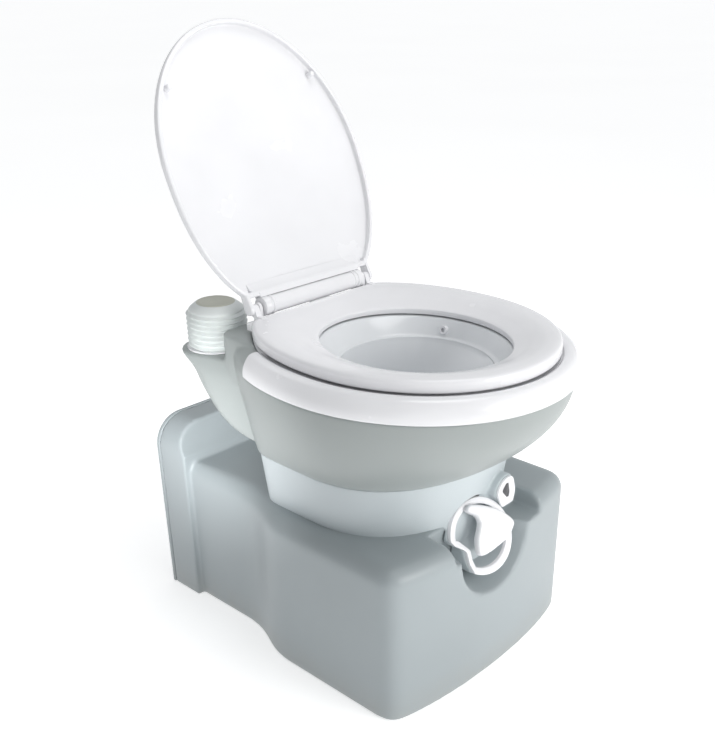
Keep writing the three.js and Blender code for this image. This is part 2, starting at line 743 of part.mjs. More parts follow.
function upperShell() {
  const underRim = loft([
    ringAt(egg(grown(shellEgg, -8)), RIM_BOTTOM - 2),
    ringAt(egg(grown(seatEgg, -8)), SHELL_TOP),
  ]);
  const raised = join(rearRim(0, RIM_TOP), fairing(-1, 0), fairing(1, 0));
  const outer = join(
    shellFlare(0, COLLAR_TOP + FIT_GAP, RIM_BOTTOM, 6), underRim, rearBox(0), hingeDeck(0),
    cut(raised, rimSeat(0)));
  const inner = join(
    shellFlare(SHELL_WALL, COLLAR_TOP + SHELL_WALL, RIM_BOTTOM - 4, 4),
    loft([
      ringAt(egg(grown(shellEgg, -14)), RIM_BOTTOM - 5),
      ringAt(egg(grown(seatEgg, -15)), SHELL_TOP - SHELL_WALL),
    ]),
    rearBox(SHELL_WALL),
    hingeDeck(SHELL_WALL),
    rearRim(SHELL_WALL, SHELL_TOP - SHELL_WALL),
    cut(fairing(-1, SHELL_WALL), rimSeat(SHELL_WALL)),
    cut(fairing(1, SHELL_WALL), rimSeat(SHELL_WALL)));
  const mouth = loft([
    ringAt(egg(grown(mouthEgg, 3)), SHELL_TOP - 20),
    ringAt(egg(grown(mouthEgg, 3)), SHELL_TOP + 2),
  ]);
  const throat = drum(0, VALVE_Y, COLLAR_TOP - 5, COLLAR_TOP + 20, 62, 24);
  const pumpHole = drum(PUMP_X, PUMP_Y, DECK_Z - 10, DECK_Z + 2, 22);
  const fillHole = drum(CAP_X, CAP_Y, DECK_Z - 10, DECK_Z + 2, 24);
  return cut(outer, inner, mouth, throat, pumpHole, fillHole, hingeBoltHoles());
}

// ---- Rim, bowl and flush ------------------------------------------------------------------
function rimBand() {
  const foot = grown(seatEgg, 29, 21, 27);
  const band = hoop([
    ringAt(egg(foot), RIM_BOTTOM + FIT_GAP),
    ringAt(egg(grown(seatEgg, 22, 15, 20)), 431),
    ringAt(egg(grown(seatEgg, 4, 3, 4)), RIM_TOP - 2),
    ringAt(egg(grown(seatEgg, -1)), RIM_TOP),
    ringAt(egg(grown(mouthEgg, 12)), RIM_TOP),
    ringAt(egg(grown(mouthEgg, 12)), RIM_TOP - 3),
    ringAt(egg(grown(seatEgg, -6)), RIM_TOP - 3),
    ringAt(egg(grown(foot, -5)), RIM_BOTTOM + FIT_GAP),
  ]);
  const behind = block(-300, 300, RIM_BAND_END, 300, RIM_BOTTOM - 5, RIM_TOP + 5);
  const flange = loft([
    ringAt(egg(grown(seatEgg, -1)), RIM_TOP - 3.1), ringAt(egg(grown(seatEgg, -1)), RIM_TOP + 5)]);
  return cut(band, cut(behind, flange), hingeBoltHoles());
}

// Bowl: a flange under the rim, a steep upper wall, a narrow ledge and a funnel to the valve.
const THROAT_RADIUS = 36;

function bowl() {
  const shelf = { half: 100, front: 114, back: 112, centre: BOWL_CENTRE - 9, backPower: 2 };
  const throat = { half: THROAT_RADIUS, front: THROAT_RADIUS, back: THROAT_RADIUS, centre: VALVE_Y };
  const wall = 3;
  const lip = egg(grown(mouthEgg, 10));
  const mouth = egg(grown(mouthEgg, -1));
  const high = egg(grown(shelf, 0));
  const ledge = egg(grown(shelf, -5));
  const low = egg(throat);
  const outside = (shape) => egg(grown(shape, wall));
  const funnel = [0.22, 0.5, 0.78];
  const heights = [392, 355, 318];
  const inner = funnel.map((share, i) => ringAt(blend(ledge, low, share), heights[i]));
  const outer = funnel.map((share, i) => ringAt(
    blend(outside(grown(shelf, -5)), outside(throat), share), heights[i] - 2));
  return hoop([
    ringAt(outside(throat), 262.5),
    ringAt(outside(throat), 290),
    ...outer.reverse(),
    ringAt(outside(shelf), 413),
    ringAt(egg(grown(mouthEgg, 1.5)), SHELL_TOP - 2),
    ringAt(egg(grown(mouthEgg, 1.5)), SHELL_TOP + FIT_GAP),
    ringAt(lip, SHELL_TOP + FIT_GAP),
    ringAt(lip, RIM_TOP - 3 - FIT_GAP),
    ringAt(mouth, RIM_TOP - 3 - FIT_GAP),
    ringAt(high, 416),
    ringAt(ledge, 413),
    ...inner,
    ringAt(low, 290),
    ringAt(low, 262.5),
  ]);
}

function outletGasket() {
  return ring(0, VALVE_Y, UPPER_PLATE_TOP + FIT_GAP, 262.2, THROAT_RADIUS, THROAT_RADIUS + 7);
}

const NOZZLE = { x: 99, y: -71, z: 427 };
const NOZZLE_END = { x: 122, y: -69, z: 422 };

// A short round outlet through the bowl's upper wall, where the flush water comes in.
function flushNozzle() {
  const from = [NOZZLE.x, NOZZLE.y, NOZZLE.z];
  const to = [NOZZLE_END.x, NOZZLE_END.y, NOZZLE_END.z];
  return cut(bar(from, to, 6), bar([NOZZLE.x - 9, -71.8, 429], [NOZZLE.x + 12, -70, 424.4], 3));
}

function nozzleHole() {
  return bar([90, -71.8, 429], [130, -68.3, 420.3], 6.4);
}

// The pipe from the pump round the back of the bowl to the nozzle.
function deliveryPipe() {
  const route = new THREE.CatmullRomCurve3([
    [PUMP_X + 14, PUMP_Y - 13, 381], [-70, 118, 381], [0, 92, 383], [80, 76, 388],
    [132, 36, 398], [150, -20, 410], [142, -58, 418], [NOZZLE_END.x + 3, NOZZLE_END.y, NOZZLE_END.z],
  ].map(([x, y, z]) => new THREE.Vector3(x, y, z)));
  const section = new THREE.Shape().absarc(0, 0, 4.5, 0, 2 * Math.PI, false);
  return solid(new THREE.ExtrudeGeometry(
    section, { steps: 20, extrudePath: route, curveSegments: 2 }));
}

function fillerNeck() {
  return join(
    ring(CAP_X, CAP_Y, DECK_Z + FIT_GAP, DECK_Z + 4, 20, 32),
    ring(CAP_X, CAP_Y, DECK_Z - 18, DECK_Z + 1, 20, 23));
}

// The filler's flap is hinged at its rear edge.
const FLAP_HINGE = { y: CAP_Y + 36, z: DECK_Z + 7 };

function fillerFlap() {
  const lid = drum(CAP_X, CAP_Y, DECK_Z + 4.6, DECK_Z + 10, 31);
  const plug = drum(CAP_X, CAP_Y, DECK_Z - 3, DECK_Z + 5, 19);
  const tab = block(CAP_X - 8, CAP_X + 8, CAP_Y - 36, CAP_Y - 26, DECK_Z + 5, DECK_Z + 9);
  const tongue = block(CAP_X - 7, CAP_X + 7, CAP_Y + 26, FLAP_HINGE.y, DECK_Z + 5, DECK_Z + 9.5);
  const knuckle = bar(
    [CAP_X - 7, FLAP_HINGE.y, FLAP_HINGE.z], [CAP_X + 7, FLAP_HINGE.y, FLAP_HINGE.z], 3);
  const hole = bar(
    [CAP_X - 20, FLAP_HINGE.y, FLAP_HINGE.z], [CAP_X + 20, FLAP_HINGE.y, FLAP_HINGE.z], 1.5, 10);
  return cut(join(lid, plug, tab, tongue, knuckle), hole);
}

function flapHinge() {
  const { y, z } = FLAP_HINGE;
  const cheeks = [-1, 1].map((side) => block(
    CAP_X + side * 9.6 - 2, CAP_X + side * 9.6 + 2, y - 3, y + 3, DECK_Z + FIT_GAP, z + 3));
  const pin = bar([CAP_X - 11, y, z], [CAP_X + 11, y, z], 1.2, 10);
  return join(...cheeks, pin);
}

// ---- Bellows pump -------------------------------------------------------------------------
const BELLOWS_BOTTOM = DECK_Z + 2.8;
const RIDGES = 7;
const SHOULDER_Z = 460;
const PUMP_WALL = 2;

function pumpCollar() {
  return join(
    ring(PUMP_X, PUMP_Y, DECK_Z + FIT_GAP, DECK_Z + 2.5, 10, 39),
    ring(PUMP_X, PUMP_Y, DECK_Z - 16, DECK_Z + 1, 10, 21));
}

// The folded wall of the pump, narrowing to a flat top.
function bellows() {
  const outer = [[0, BELLOWS_BOTTOM]];
  const pitch = (SHOULDER_Z - BELLOWS_BOTTOM) / RIDGES;
  for (let i = 0; i < RIDGES; i += 1) {
    const z = BELLOWS_BOTTOM + i * pitch;
    outer.push([BELLOWS_RADIUS - 4, z], [BELLOWS_RADIUS, z + pitch * 0.5]);
  }
  outer.push([BELLOWS_RADIUS - 3, SHOULDER_Z], [27, BELLOWS_TOP - 3], [0, BELLOWS_TOP - 3]);
  const inner = [[0, BELLOWS_BOTTOM - 1], [BELLOWS_RADIUS - 4 - PUMP_WALL, BELLOWS_BOTTOM - 1],
    [BELLOWS_RADIUS - 4 - PUMP_WALL, SHOULDER_Z - 3], [25, BELLOWS_TOP - 6], [0, BELLOWS_TOP - 6]];
  const mouth = drum(PUMP_X, PUMP_Y, BELLOWS_TOP - 8, BELLOWS_TOP, 22);
  return cut(turned(PUMP_X, PUMP_Y, outer), turned(PUMP_X, PUMP_Y, inner), mouth);
}

function pumpCap() {
  return join(
    drum(PUMP_X, PUMP_Y, BELLOWS_TOP - 2.7, BELLOWS_TOP, 27, 20, 25),
    drum(PUMP_X, PUMP_Y, BELLOWS_TOP - 9, BELLOWS_TOP - 2, 21.5),
    drum(PUMP_X, PUMP_Y, BELLOWS_TOP - 12, BELLOWS_TOP - 8, 10, 20));
}

// The return spring's outline: a thin sleeve the size of the coil.
function pumpSpring() {
  return ring(PUMP_X, PUMP_Y, DECK_Z + 2.8, BELLOWS_TOP - 9.3, 11.5, 15, 20);
}

// The valve housing under the deck, with the suction and delivery pipes on it.
function pumpValve() {
  return ring(PUMP_X, PUMP_Y, DECK_Z - 36, DECK_Z - 16 - FIT_GAP, 7, 18);
}

function suctionPipe() {
  const x = PUMP_X;
  const y = PUMP_Y;
  return bar([x, y, DECK_Z - 37], [x + 12, y - 45, COLLAR_TOP + 20], 5, 12);
}

// ---- Hinge, seat and lid ------------------------------------------------------------------
function hingePost(side) {
  const foot = block(side > 0 ? 84 : -105, side > 0 ? 105 : -84, 73, 99, RIM_TOP + FIT_GAP, 453);
  const plate = block(side > 0 ? 97 : -105, side > 0 ? 105 : -97, 77, 95, 450, HINGE_Z);
  const top = bar([side * 97, HINGE_Y, HINGE_Z], [side * 105, HINGE_Y, HINGE_Z], 10, 20);
  const pinHole = bar([side * 90, HINGE_Y, HINGE_Z], [side * 110, HINGE_Y, HINGE_Z], 4.3);
  return cut(join(foot, plate, top), pinHole, hingeBoltHoles());
}

function hingePin() {
  return bar([-121, HINGE_Y, HINGE_Z], [121, HINGE_Y, HINGE_Z], PIN_RADIUS);
}

function hingeBolt(side) {
  const x = side * BOLT_X;
  return join(drum(x, HINGE_Y, 453.3, 456, 5.5, 20), drum(x, HINGE_Y, 412, 454, 3, 16));
}

function hingeNut(side) {
  const x = side * BOLT_X;
  const wings = block(x - 14, x + 14, HINGE_Y - 2, HINGE_Y + 2, 418, 430);
  return cut(join(drum(x, HINGE_Y, 418, 431, 8, 6), wings), drum(x, HINGE_Y, 400, 440, 3.3, 16));
}

function seatRing() {
  const body = hoop([
    ringAt(egg(grown(seatEgg, -4)), SEAT_BOTTOM),
    ringAt(egg(seatEgg), SEAT_BOTTOM + 4),
    ringAt(egg(seatEgg), SEAT_EDGE_TOP - 5),
    ringAt(egg(grown(seatEgg, -4)), SEAT_EDGE_TOP - 0.5),
    ringAt(egg(grown(seatEgg, -20)), SEAT_EDGE_TOP),
    ringAt(egg(grown(mouthEgg, 14)), SEAT_EDGE_TOP - 9),
    ringAt(egg(grown(mouthEgg, 2)), SEAT_BOTTOM + 4),
    ringAt(egg(mouthEgg), SEAT_BOTTOM + 1.5),
    ringAt(egg(grown(mouthEgg, 2)), SEAT_BOTTOM),
  ]);
  const lugs = [-1, 1].map((side) => {
    const x0 = side > 0 ? 107 : -119;
    const web = sideSlab([[44, 447.5], [74, 447.5], [96, 470], [78, 481], [56, 460]], x0, x0 + 12);
    const eye = bar([x0, HINGE_Y, HINGE_Z], [x0 + 12, HINGE_Y, HINGE_Z], 10, 20);
    return join(web, eye);
  });
  const behind = block(-300, 300, SEAT_CUT, 300, 400, 500);
  const pinHole = bar([-130, HINGE_Y, HINGE_Z], [130, HINGE_Y, HINGE_Z], PIN_RADIUS + FIT_GAP);
  return cut(join(cut(body, behind), ...lugs), pinHole);
}

function seatBuffer(angle) {
  const { x, y } = egg(grown(seatEgg, -26))(angle);
  return drum(x, y, RIM_TOP + FIT_GAP, SEAT_BOTTOM - FIT_GAP, 7, 12);
}

const lidEgg = {
  half: SEAT_HALF_WIDTH * LID_SCALE,
  front: SEAT_FRONT * LID_SCALE,
  back: SEAT_BACK * LID_SCALE,
  centre: BOWL_CENTRE,
};

function lidPanel() {
  const outside = loft([
    ringAt(egg(grown(lidEgg, -1.5)), LID_BOTTOM),
    ringAt(egg(lidEgg), LID_BOTTOM + 2),
    ringAt(egg(lidEgg), LID_BOTTOM + 8),
    ringAt(egg(grown(lidEgg, -5)), LID_BOTTOM + 12),
    ringAt(egg(grown(lidEgg, -30)), LID_BOTTOM + 15),
    ringAt(egg(grown(lidEgg, -90)), LID_BOTTOM + 17),
  ]);
  const inside = loft([
    ringAt(egg(grown(lidEgg, -7)), LID_BOTTOM - 1),
    ringAt(egg(grown(lidEgg, -7.5)), LID_BOTTOM + 8),
    ringAt(egg(grown(lidEgg, -16)), LID_BOTTOM + 9.5),
    ringAt(egg(grown(lidEgg, -45)), LID_BOTTOM + 12),
    ringAt(egg(grown(lidEgg, -95)), LID_BOTTOM + 13.5),
  ]);
  const behind = block(-300, 300, SEAT_CUT + 2, 300, 400, 520);
  const keepClosedAtHinge = block(-130, 130, SEAT_CUT - 6, 100, 440, 500);
  const panel = cut(outside, cut(inside, keepClosedAtHinge), behind);
  const web = block(-92, 92, SEAT_CUT - 2, HINGE_Y - 4, HINGE_Z - 6, HINGE_Z + 5);
  const axle = bar([-200, HINGE_Y, HINGE_Z], [200, HINGE_Y, HINGE_Z], BARREL_RADIUS + FIT_GAP, 32);
  const corners = [-1, 1].map((side) => block(
    side > 0 ? 106 : -200, side > 0 ? 200 : -106, 50, 100, 440, 500));
  return cut(join(panel, web), axle, ...corners);
}

// The white barrel along the lid's rear edge, with raised bands near its ends.
function lidBarrel() {
  const tube = bar(
    [-BARREL_HALF, HINGE_Y, HINGE_Z], [BARREL_HALF, HINGE_Y, HINGE_Z], BARREL_RADIUS, 24);
  const bore = bar([-130, HINGE_Y, HINGE_Z], [130, HINGE_Y, HINGE_Z], PIN_RADIUS + FIT_GAP);
  return cut(tube, bore);
}

function lidBuffer(angle) {
  const { x, y } = egg(grown(lidEgg, -13))(angle);
  return drum(x, y, SEAT_EDGE_TOP + 0.8, LID_BOTTOM + 7.6, 4, 12);
}

// ---- Assembly -----------------------------------------------------------------------------
const toilet = new THREE.Group();

function add(name, shape, material, parent = toilet) {
  const mesh = new THREE.Mesh(surface(shape), material);
  mesh.name = name;
  parent.add(mesh);
  return mesh;
}

add('holding_tank', holdingTank(), tankGrey);
add('rear_cover', rearCover(), tankGrey);
add('valve_collar', valveCollar(), collarGrey);
add('valve_bezel', valveBezel(), glossWhite);
add('indicator_bezel', indicatorBezel(), glossWhite);
add('indicator_lens', indicatorLens(), darkWindow);
add('valve_frame_lower', valveFrameLower(), glossWhite);
add('valve_frame_upper', valveFrameUpper(), glossWhite);
add('valve_seal_lower', valveSeal(-1), blackRubber);
add('valve_seal_upper', valveSeal(1), blackRubber);
add('valve_blade', valveBlade(), glossWhite);
add('valve_rod', valveRod(), steel);
add('pull_handle', pullHandle(), glossWhite);
add('pour_spout', pourSpout(), tankGrey);
add('spout_seal', spoutSeal(), blackRubber);
add('spout_cap', spoutCap(), glossWhite);
add('vent_body', ventBody(), tankGrey);
add('vent_spring', ventSpring(), steel);
add('vent_button', ventButton(), redPlastic);
add('float_bracket', floatBracket(), glossWhite);
add('float_pin', floatPin(), steel);
add('level_float', levelFloat(), redPlastic);
add('upper_shell', upperShell(), shellGrey);
add('rim_band', rimBand(), glossWhite);
add('bowl', cut(bowl(), nozzleHole()), bowlCream);
add('outlet_gasket', outletGasket(), blackRubber);
add('flush_nozzle', flushNozzle(), glossWhite);
add('delivery_pipe', deliveryPipe(), bellowsRubber);
add('filler_neck', fillerNeck(), glossWhite);
add('filler_flap', fillerFlap(), glossWhite);
add('flap_hinge', flapHinge(), glossWhite);
add('pump_collar', pumpCollar(), glossWhite);
add('pump_valve', pumpValve(), blackRubber);
add('suction_pipe', suctionPipe(), bellowsRubber);
add('bellows', bellows(), bellowsRubber);
add('pump_spring', pumpSpring(), steel);
add('pump_cap', pumpCap(), bellowsRubber);
add('hinge_pin', hingePin(), steel);
for (const [end, side] of [['left', -1], ['right', 1]]) {
  add(`hinge_post_${end}`, hingePost(side), glossWhite);
  add(`hinge_bolt_${end}`, hingeBolt(side), steel);
  add(`hinge_nut_${end}`, hingeNut(side), glossWhite);
}

add('seat_ring', seatRing(), glossWhite);
const bufferAngles = [['front_left', -0.6], ['front_right', 0.6], ['rear_left', -2.1], ['rear_right', 2.1]];
for (const [place, angle] of bufferAngles) {
  add(`seat_buffer_${place}`, seatBuffer(angle), blackRubber);
}

// The lid is drawn closed and swung back about the hinge.
const lid = new THREE.Group();
lid.position.set(0, HINGE_Y, HINGE_Z);
lid.rotation.x = -LID_LEAN;
const lidDrawn = new THREE.Group();
lidDrawn.position.set(0, -HINGE_Y, -HINGE_Z);
lid.add(lidDrawn);
toilet.add(lid);
add('lid_panel', lidPanel(), glossWhite, lidDrawn);
add('lid_barrel', lidBarrel(), glossWhite, lidDrawn);
add('lid_buffer_left', lidBuffer(-0.84), glossWhite, lidDrawn);
add('lid_buffer_right', lidBuffer(0.84), glossWhite, lidDrawn);

export default toilet;
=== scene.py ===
"""The looks of a portable cassette toilet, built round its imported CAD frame.

Shapes are worked out in millimetres in the row frame and become metres when a mesh is made.
"""
import json
import math

import bpy
from mathutils import Matrix, Vector


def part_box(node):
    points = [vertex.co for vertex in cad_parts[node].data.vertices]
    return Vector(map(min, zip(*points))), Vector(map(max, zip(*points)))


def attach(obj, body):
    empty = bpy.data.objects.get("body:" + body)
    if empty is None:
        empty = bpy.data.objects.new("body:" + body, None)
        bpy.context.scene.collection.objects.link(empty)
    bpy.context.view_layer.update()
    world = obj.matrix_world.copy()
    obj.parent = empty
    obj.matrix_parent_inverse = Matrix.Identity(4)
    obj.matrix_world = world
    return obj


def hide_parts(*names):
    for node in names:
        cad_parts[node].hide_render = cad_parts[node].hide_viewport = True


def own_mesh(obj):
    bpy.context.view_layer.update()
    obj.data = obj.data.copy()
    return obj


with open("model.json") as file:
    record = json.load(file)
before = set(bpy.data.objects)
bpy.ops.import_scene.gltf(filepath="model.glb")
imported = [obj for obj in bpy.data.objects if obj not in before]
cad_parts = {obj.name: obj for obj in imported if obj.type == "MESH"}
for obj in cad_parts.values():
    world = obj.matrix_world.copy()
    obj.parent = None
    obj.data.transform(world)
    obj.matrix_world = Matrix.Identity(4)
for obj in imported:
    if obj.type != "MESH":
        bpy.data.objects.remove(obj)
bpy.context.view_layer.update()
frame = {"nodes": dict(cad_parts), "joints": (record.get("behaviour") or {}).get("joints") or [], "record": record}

# ---- Driving dimensions, in millimetres ------------------------------------------------------
MM = 0.001
FIT_GAP = 0.3
RING_POINTS = 144


def box(node):
    low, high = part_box(node)
    return Vector(low) / MM, Vector(high) / MM


def joint(name):
    return next(j for j in frame["joints"] if j["name"] == name)


TANK_LOW, TANK_HIGH = box("holding_tank")
TANK_HALF_WIDTH = TANK_HIGH.x
TANK_FRONT = TANK_LOW.y
PANEL_BACK = TANK_HIGH.y
PANEL_TOP = TANK_HIGH.z + 3
TANK_TOP = box("pour_spout")[0].z - FIT_GAP
TANK_WAIST = 161
PANEL_HALF_WIDTH = box("rear_cover")[1].x + 4
PANEL_FRONT = 192
PANEL_CORNER = 45

COLLAR_LOW, COLLAR_HIGH = box("valve_collar")
COLLAR_BOTTOM = TANK_TOP + FIT_GAP
COLLAR_TOP = COLLAR_HIGH.z
COLLAR_CENTRE = -69
VALVE_Y = (box("outlet_gasket")[0].y + box("outlet_gasket")[1].y) / 2

SEAT_LOW, SEAT_HIGH = box("seat_ring")
SEAT_HALF_WIDTH = SEAT_HIGH.x
SEAT_FRONT = 204
SEAT_BACK = 218
BOWL_CENTRE = SEAT_LOW.y + SEAT_FRONT
SEAT_BOTTOM = SEAT_LOW.z
SEAT_EDGE_TOP = 464
SEAT_CUT = 70
RIM_BOTTOM = box("rim_band")[0].z - FIT_GAP
RIM_TOP = box("rim_band")[1].z
RIM_BAND_END = 12
RIM_BAND_SWEEP = math.radians(128)
DECK_Z = box("filler_neck")[1].z - 4
DECK_BACK = box("upper_shell")[1].y
DECK_HALF_WIDTH = 163
FAIRING_TOP = box("upper_shell")[1].z
SHELL_TOP = 437
SHELL_WALL = 6
LEVEL_STEP = 1e-5

HINGE = Vector(joint("lid_hinge")["pos_m"]) / MM
LID_LEAN = math.radians(-joint("lid_hinge")["range_deg"][0])
LID_BOTTOM = 466.5
LID_SCALE = 0.945
BARREL_RADIUS = 13.2
BARREL_HALF = 94
POST_IN = 96
POST_OUT = 101
LUG_IN = 102
LUG_WIDTH = 8
EAR_IN = 110.6
EAR_OUT = 116.5
LID_SWING = (Matrix.Translation(HINGE * MM) @ Matrix.Rotation(-LID_LEAN, 4, "X")
             @ Matrix.Translation(-HINGE * MM))

BELLOWS_LOW, BELLOWS_HIGH = box("bellows")
PUMP = (BELLOWS_LOW + BELLOWS_HIGH) / 2 + Vector((3, -4, 0))
BELLOWS_RADIUS = (BELLOWS_HIGH.x - BELLOWS_LOW.x) / 2
PUMP_TOP = box("pump_cap")[1].z

FACE = Vector((-5, -230, 203))
FACE_TILT = math.radians(27)
FACE_TURN = math.radians(-10)
FACE_RADIUS = 52
FACE_ACROSS = Vector((math.cos(FACE_TURN), math.sin(FACE_TURN), 0))
FACE_NORMAL = Vector((math.sin(FACE_TURN) * math.cos(FACE_TILT),
                      -math.cos(FACE_TURN) * math.cos(FACE_TILT), math.sin(FACE_TILT)))
FACE_UP = FACE_NORMAL.cross(FACE_ACROSS)
FORWARDS = Vector((0, -1, 0))
WINDOW = Vector((51, box("indicator_bezel")[0].y, 247))


# ---- Materials -------------------------------------------------------------------------------
class Nodes:
    """A short way to add and link the nodes of one material."""

    def __init__(self, name):
        self.material = bpy.data.materials.new(name)
        self.material.use_nodes = True
        self.tree = self.material.node_tree
        self.shader = self.tree.nodes["Principled BSDF"]
        self.place = self.add("ShaderNodeTexCoord").outputs["Object"]

    def add(self, kind, **values):
        node = self.tree.nodes.new(kind)
        for key, value in values.items():
            if key in node.inputs:
                node.inputs[key].default_value = value
            else:
                setattr(node, key, value)
        return node

    def link(self, source, target):
        self.tree.links.new(source, target)

    def noise(self, scale, detail=3.0, rough=0.5):
        node = self.add("ShaderNodeTexNoise", Scale=scale, Detail=detail, Roughness=rough)
        self.link(self.place, node.inputs["Vector"])
        return node.outputs["Fac"]

    def spread(self, source, low, high, start=0.3, end=0.7):
        node = self.add("ShaderNodeMapRange")
        for name, value in (("From Min", start), ("From Max", end), ("To Min", low), ("To Max", high)):
            node.inputs[name].default_value = value
        self.link(source, node.inputs["Value"])
        return node.outputs["Result"]

    def mix(self, share, first, second):
        node = self.add("ShaderNodeMix", data_type="RGBA")
        for name, value in (("A", first), ("B", second)):
            socket = next(s for s in node.inputs if s.name == name and s.type == "RGBA")
            if isinstance(value, tuple):
                socket.default_value = (*value, 1)
            else:
                self.link(value, socket)
        self.link(share, node.inputs["Factor"])
        return next(s for s in node.outputs if s.type == "RGBA")

    def bump(self, source, strength, distance, before=None):
        node = self.add("ShaderNodeBump", Strength=strength, Distance=distance)
        self.link(source, node.inputs["Height"])
        if before is not None:
            self.link(before, node.inputs["Normal"])
        return node.outputs["Normal"]


def shade(colour, factor):
    return tuple(min(1.0, channel * factor) for channel in colour)


def moulded_plastic(name, colour, roughness, grain=0.05, waves=0.0, dust=0.0, coat=0.0):
    """Plastic with faint flow marks, a fine grain and, on the floor-standing part, some dust."""
    nodes = Nodes(name)
    shader = nodes.shader
    tint = nodes.mix(nodes.spread(nodes.noise(7.0), 0.0, 1.0), shade(colour, 0.965), shade(colour, 1.03))
    if dust:
        height = nodes.add("ShaderNodeSeparateXYZ")
        nodes.link(nodes.place, height.inputs["Vector"])
        rising = nodes.spread(height.outputs["Z"], dust, 0.0, 0.0, 0.05)
        patchy = nodes.add("ShaderNodeMath", operation="MULTIPLY")
        nodes.link(rising, patchy.inputs[0])
        nodes.link(nodes.spread(nodes.noise(40.0, 6.0), 0.3, 1.0), patchy.inputs[1])
        tint = nodes.mix(patchy.outputs[0], tint, (0.36, 0.34, 0.30))
    nodes.link(tint, shader.inputs["Base Color"])
    uneven = nodes.spread(nodes.noise(14.0, 5.0), roughness - 0.05, roughness + 0.06)
    nodes.link(uneven, shader.inputs["Roughness"])
    normal = nodes.bump(nodes.noise(1400.0, 2.0), grain, 0.0004)
    if waves:
        normal = nodes.bump(nodes.noise(16.0, 1.0), waves, 0.004, normal)
    nodes.link(normal, shader.inputs["Normal"])
    shader.inputs["Coat Weight"].default_value = coat
    shader.inputs["Coat Roughness"].default_value = 0.12
    return nodes.material


def soft_rubber(name, colour, roughness):
    nodes = Nodes(name)
    tint = nodes.mix(nodes.spread(nodes.noise(30.0), 0.0, 1.0), shade(colour, 0.93), shade(colour, 1.03))
    nodes.link(tint, nodes.shader.inputs["Base Color"])
    nodes.link(nodes.spread(nodes.noise(60.0), roughness - 0.08, roughness + 0.08),
               nodes.shader.inputs["Roughness"])
    nodes.link(nodes.bump(nodes.noise(900.0), 0.12, 0.0005), nodes.shader.inputs["Normal"])
    return nodes.material


def brushed_steel(name):
    nodes = Nodes(name)
    streaks = nodes.add("ShaderNodeTexNoise", Scale=60.0, Detail=4.0)
    stretch = nodes.add("ShaderNodeMapping", Scale=(1.0, 12.0, 12.0))
    nodes.link(nodes.place, stretch.inputs["Vector"])
    nodes.link(stretch.outputs["Vector"], streaks.inputs["Vector"])
    nodes.link(nodes.mix(streaks.outputs["Fac"], (0.50, 0.51, 0.52), (0.68, 0.68, 0.69)),
               nodes.shader.inputs["Base Color"])
    nodes.link(nodes.spread(streaks.outputs["Fac"], 0.22, 0.4), nodes.shader.inputs["Roughness"])
    nodes.shader.inputs["Metallic"].default_value = 1.0
    return nodes.material


PLASTICS = {
    "tank_grey": dict(colour=(0.345, 0.385, 0.40), roughness=0.36, grain=0.10, waves=0.05, dust=0.35),
    "shell_grey": dict(colour=(0.35, 0.38, 0.375), roughness=0.36, grain=0.08, waves=0.03),
    # collar_grey is the tank's grey plastic painted lighter: its extra brightness is painted light on the collar
    # band below the shell
    "collar_grey": dict(colour=(0.52, 0.57, 0.59), roughness=0.38, grain=0.08, waves=0.03),
    "white_plastic": dict(colour=(0.85, 0.85, 0.87), roughness=0.22, grain=0.02, waves=0.012, coat=0.3),
    "bowl_cream": dict(colour=(0.75, 0.77, 0.79), roughness=0.20, grain=0.02, waves=0.012, coat=0.3),
    "dark_window": dict(colour=(0.025, 0.026, 0.032), roughness=0.12, grain=0.01, coat=0.5),
    "red_plastic": dict(colour=(0.45, 0.035, 0.025), roughness=0.35),
}
RUBBERS = {
    "bellows_rubber": dict(colour=(0.82, 0.86, 0.85), roughness=0.5),
    "cap_beige": dict(colour=(0.60, 0.605, 0.52), roughness=0.5),
    "black_rubber": dict(colour=(0.02, 0.02, 0.021), roughness=0.7),
}
MATERIALS = {name: moulded_plastic(name, **look) for name, look in PLASTICS.items()}
MATERIALS.update({name: soft_rubber(name, **look) for name, look in RUBBERS.items()})
MATERIALS["steel"] = brushed_steel("steel")


# ---- Outlines and rings ----------------------------------------------------------------------
def egg(half, front, back, centre, front_power=2.0, back_power=2.2):
    """A half superellipse in front of the centre and another behind it; angle 0 is the front."""
    def at(angle):
        side = abs(math.sin(angle))
        along = math.cos(angle)
        length = front if along > 0 else back
        power = front_power if along > 0 else back_power
        radius = ((side / half) ** power + (abs(along) / length) ** power) ** (-1 / power)
        return radius * math.sin(angle), centre - radius * along
    return at


def seat_egg(grow=0.0, front=None, back=None):
    front = grow if front is None else front
    back = grow if back is None else back
    return egg(SEAT_HALF_WIDTH + grow, SEAT_FRONT + front, SEAT_BACK + back, BOWL_CENTRE)


def shell_egg(grow=0.0):
    return seat_egg(26 + grow, 18 + grow, 24 + grow)


def mouth_egg(grow=0.0):
    return egg(117 + grow, 134 + grow, 132 + grow, BOWL_CENTRE - 9, 2.0, 2.0)


def lid_egg(grow=0.0):
    return egg(SEAT_HALF_WIDTH * LID_SCALE + grow, SEAT_FRONT * LID_SCALE + grow,
               SEAT_BACK * LID_SCALE + grow, BOWL_CENTRE, back_power=2.35)


def collar_plan(sides=0.0, front=None, back=None):
    front = sides if front is None else front
    back = sides if back is None else back
    return egg(166 + sides, 152 + front, 112 + back, COLLAR_CENTRE, 2.25, 9)


def circle(x, y, radius):
    def at(angle):
        return x + radius * math.sin(angle), y - radius * math.cos(angle)
    return at


def arc(x, y, radius, start, end, steps):
    """Points round a centre, from one angle in degrees to another, both ends included."""
    points = []
    for i in range(steps + 1):
        angle = math.radians(start + (end - start) * i / steps)
        points.append((x + radius * math.cos(angle), y + radius * math.sin(angle)))
    return points


def blend(first, second, share):
    def at(angle):
        (x0, y0), (x1, y1) = first(angle), second(angle)
        return x0 + (x1 - x0) * share, y0 + (y1 - y0) * share
    return at


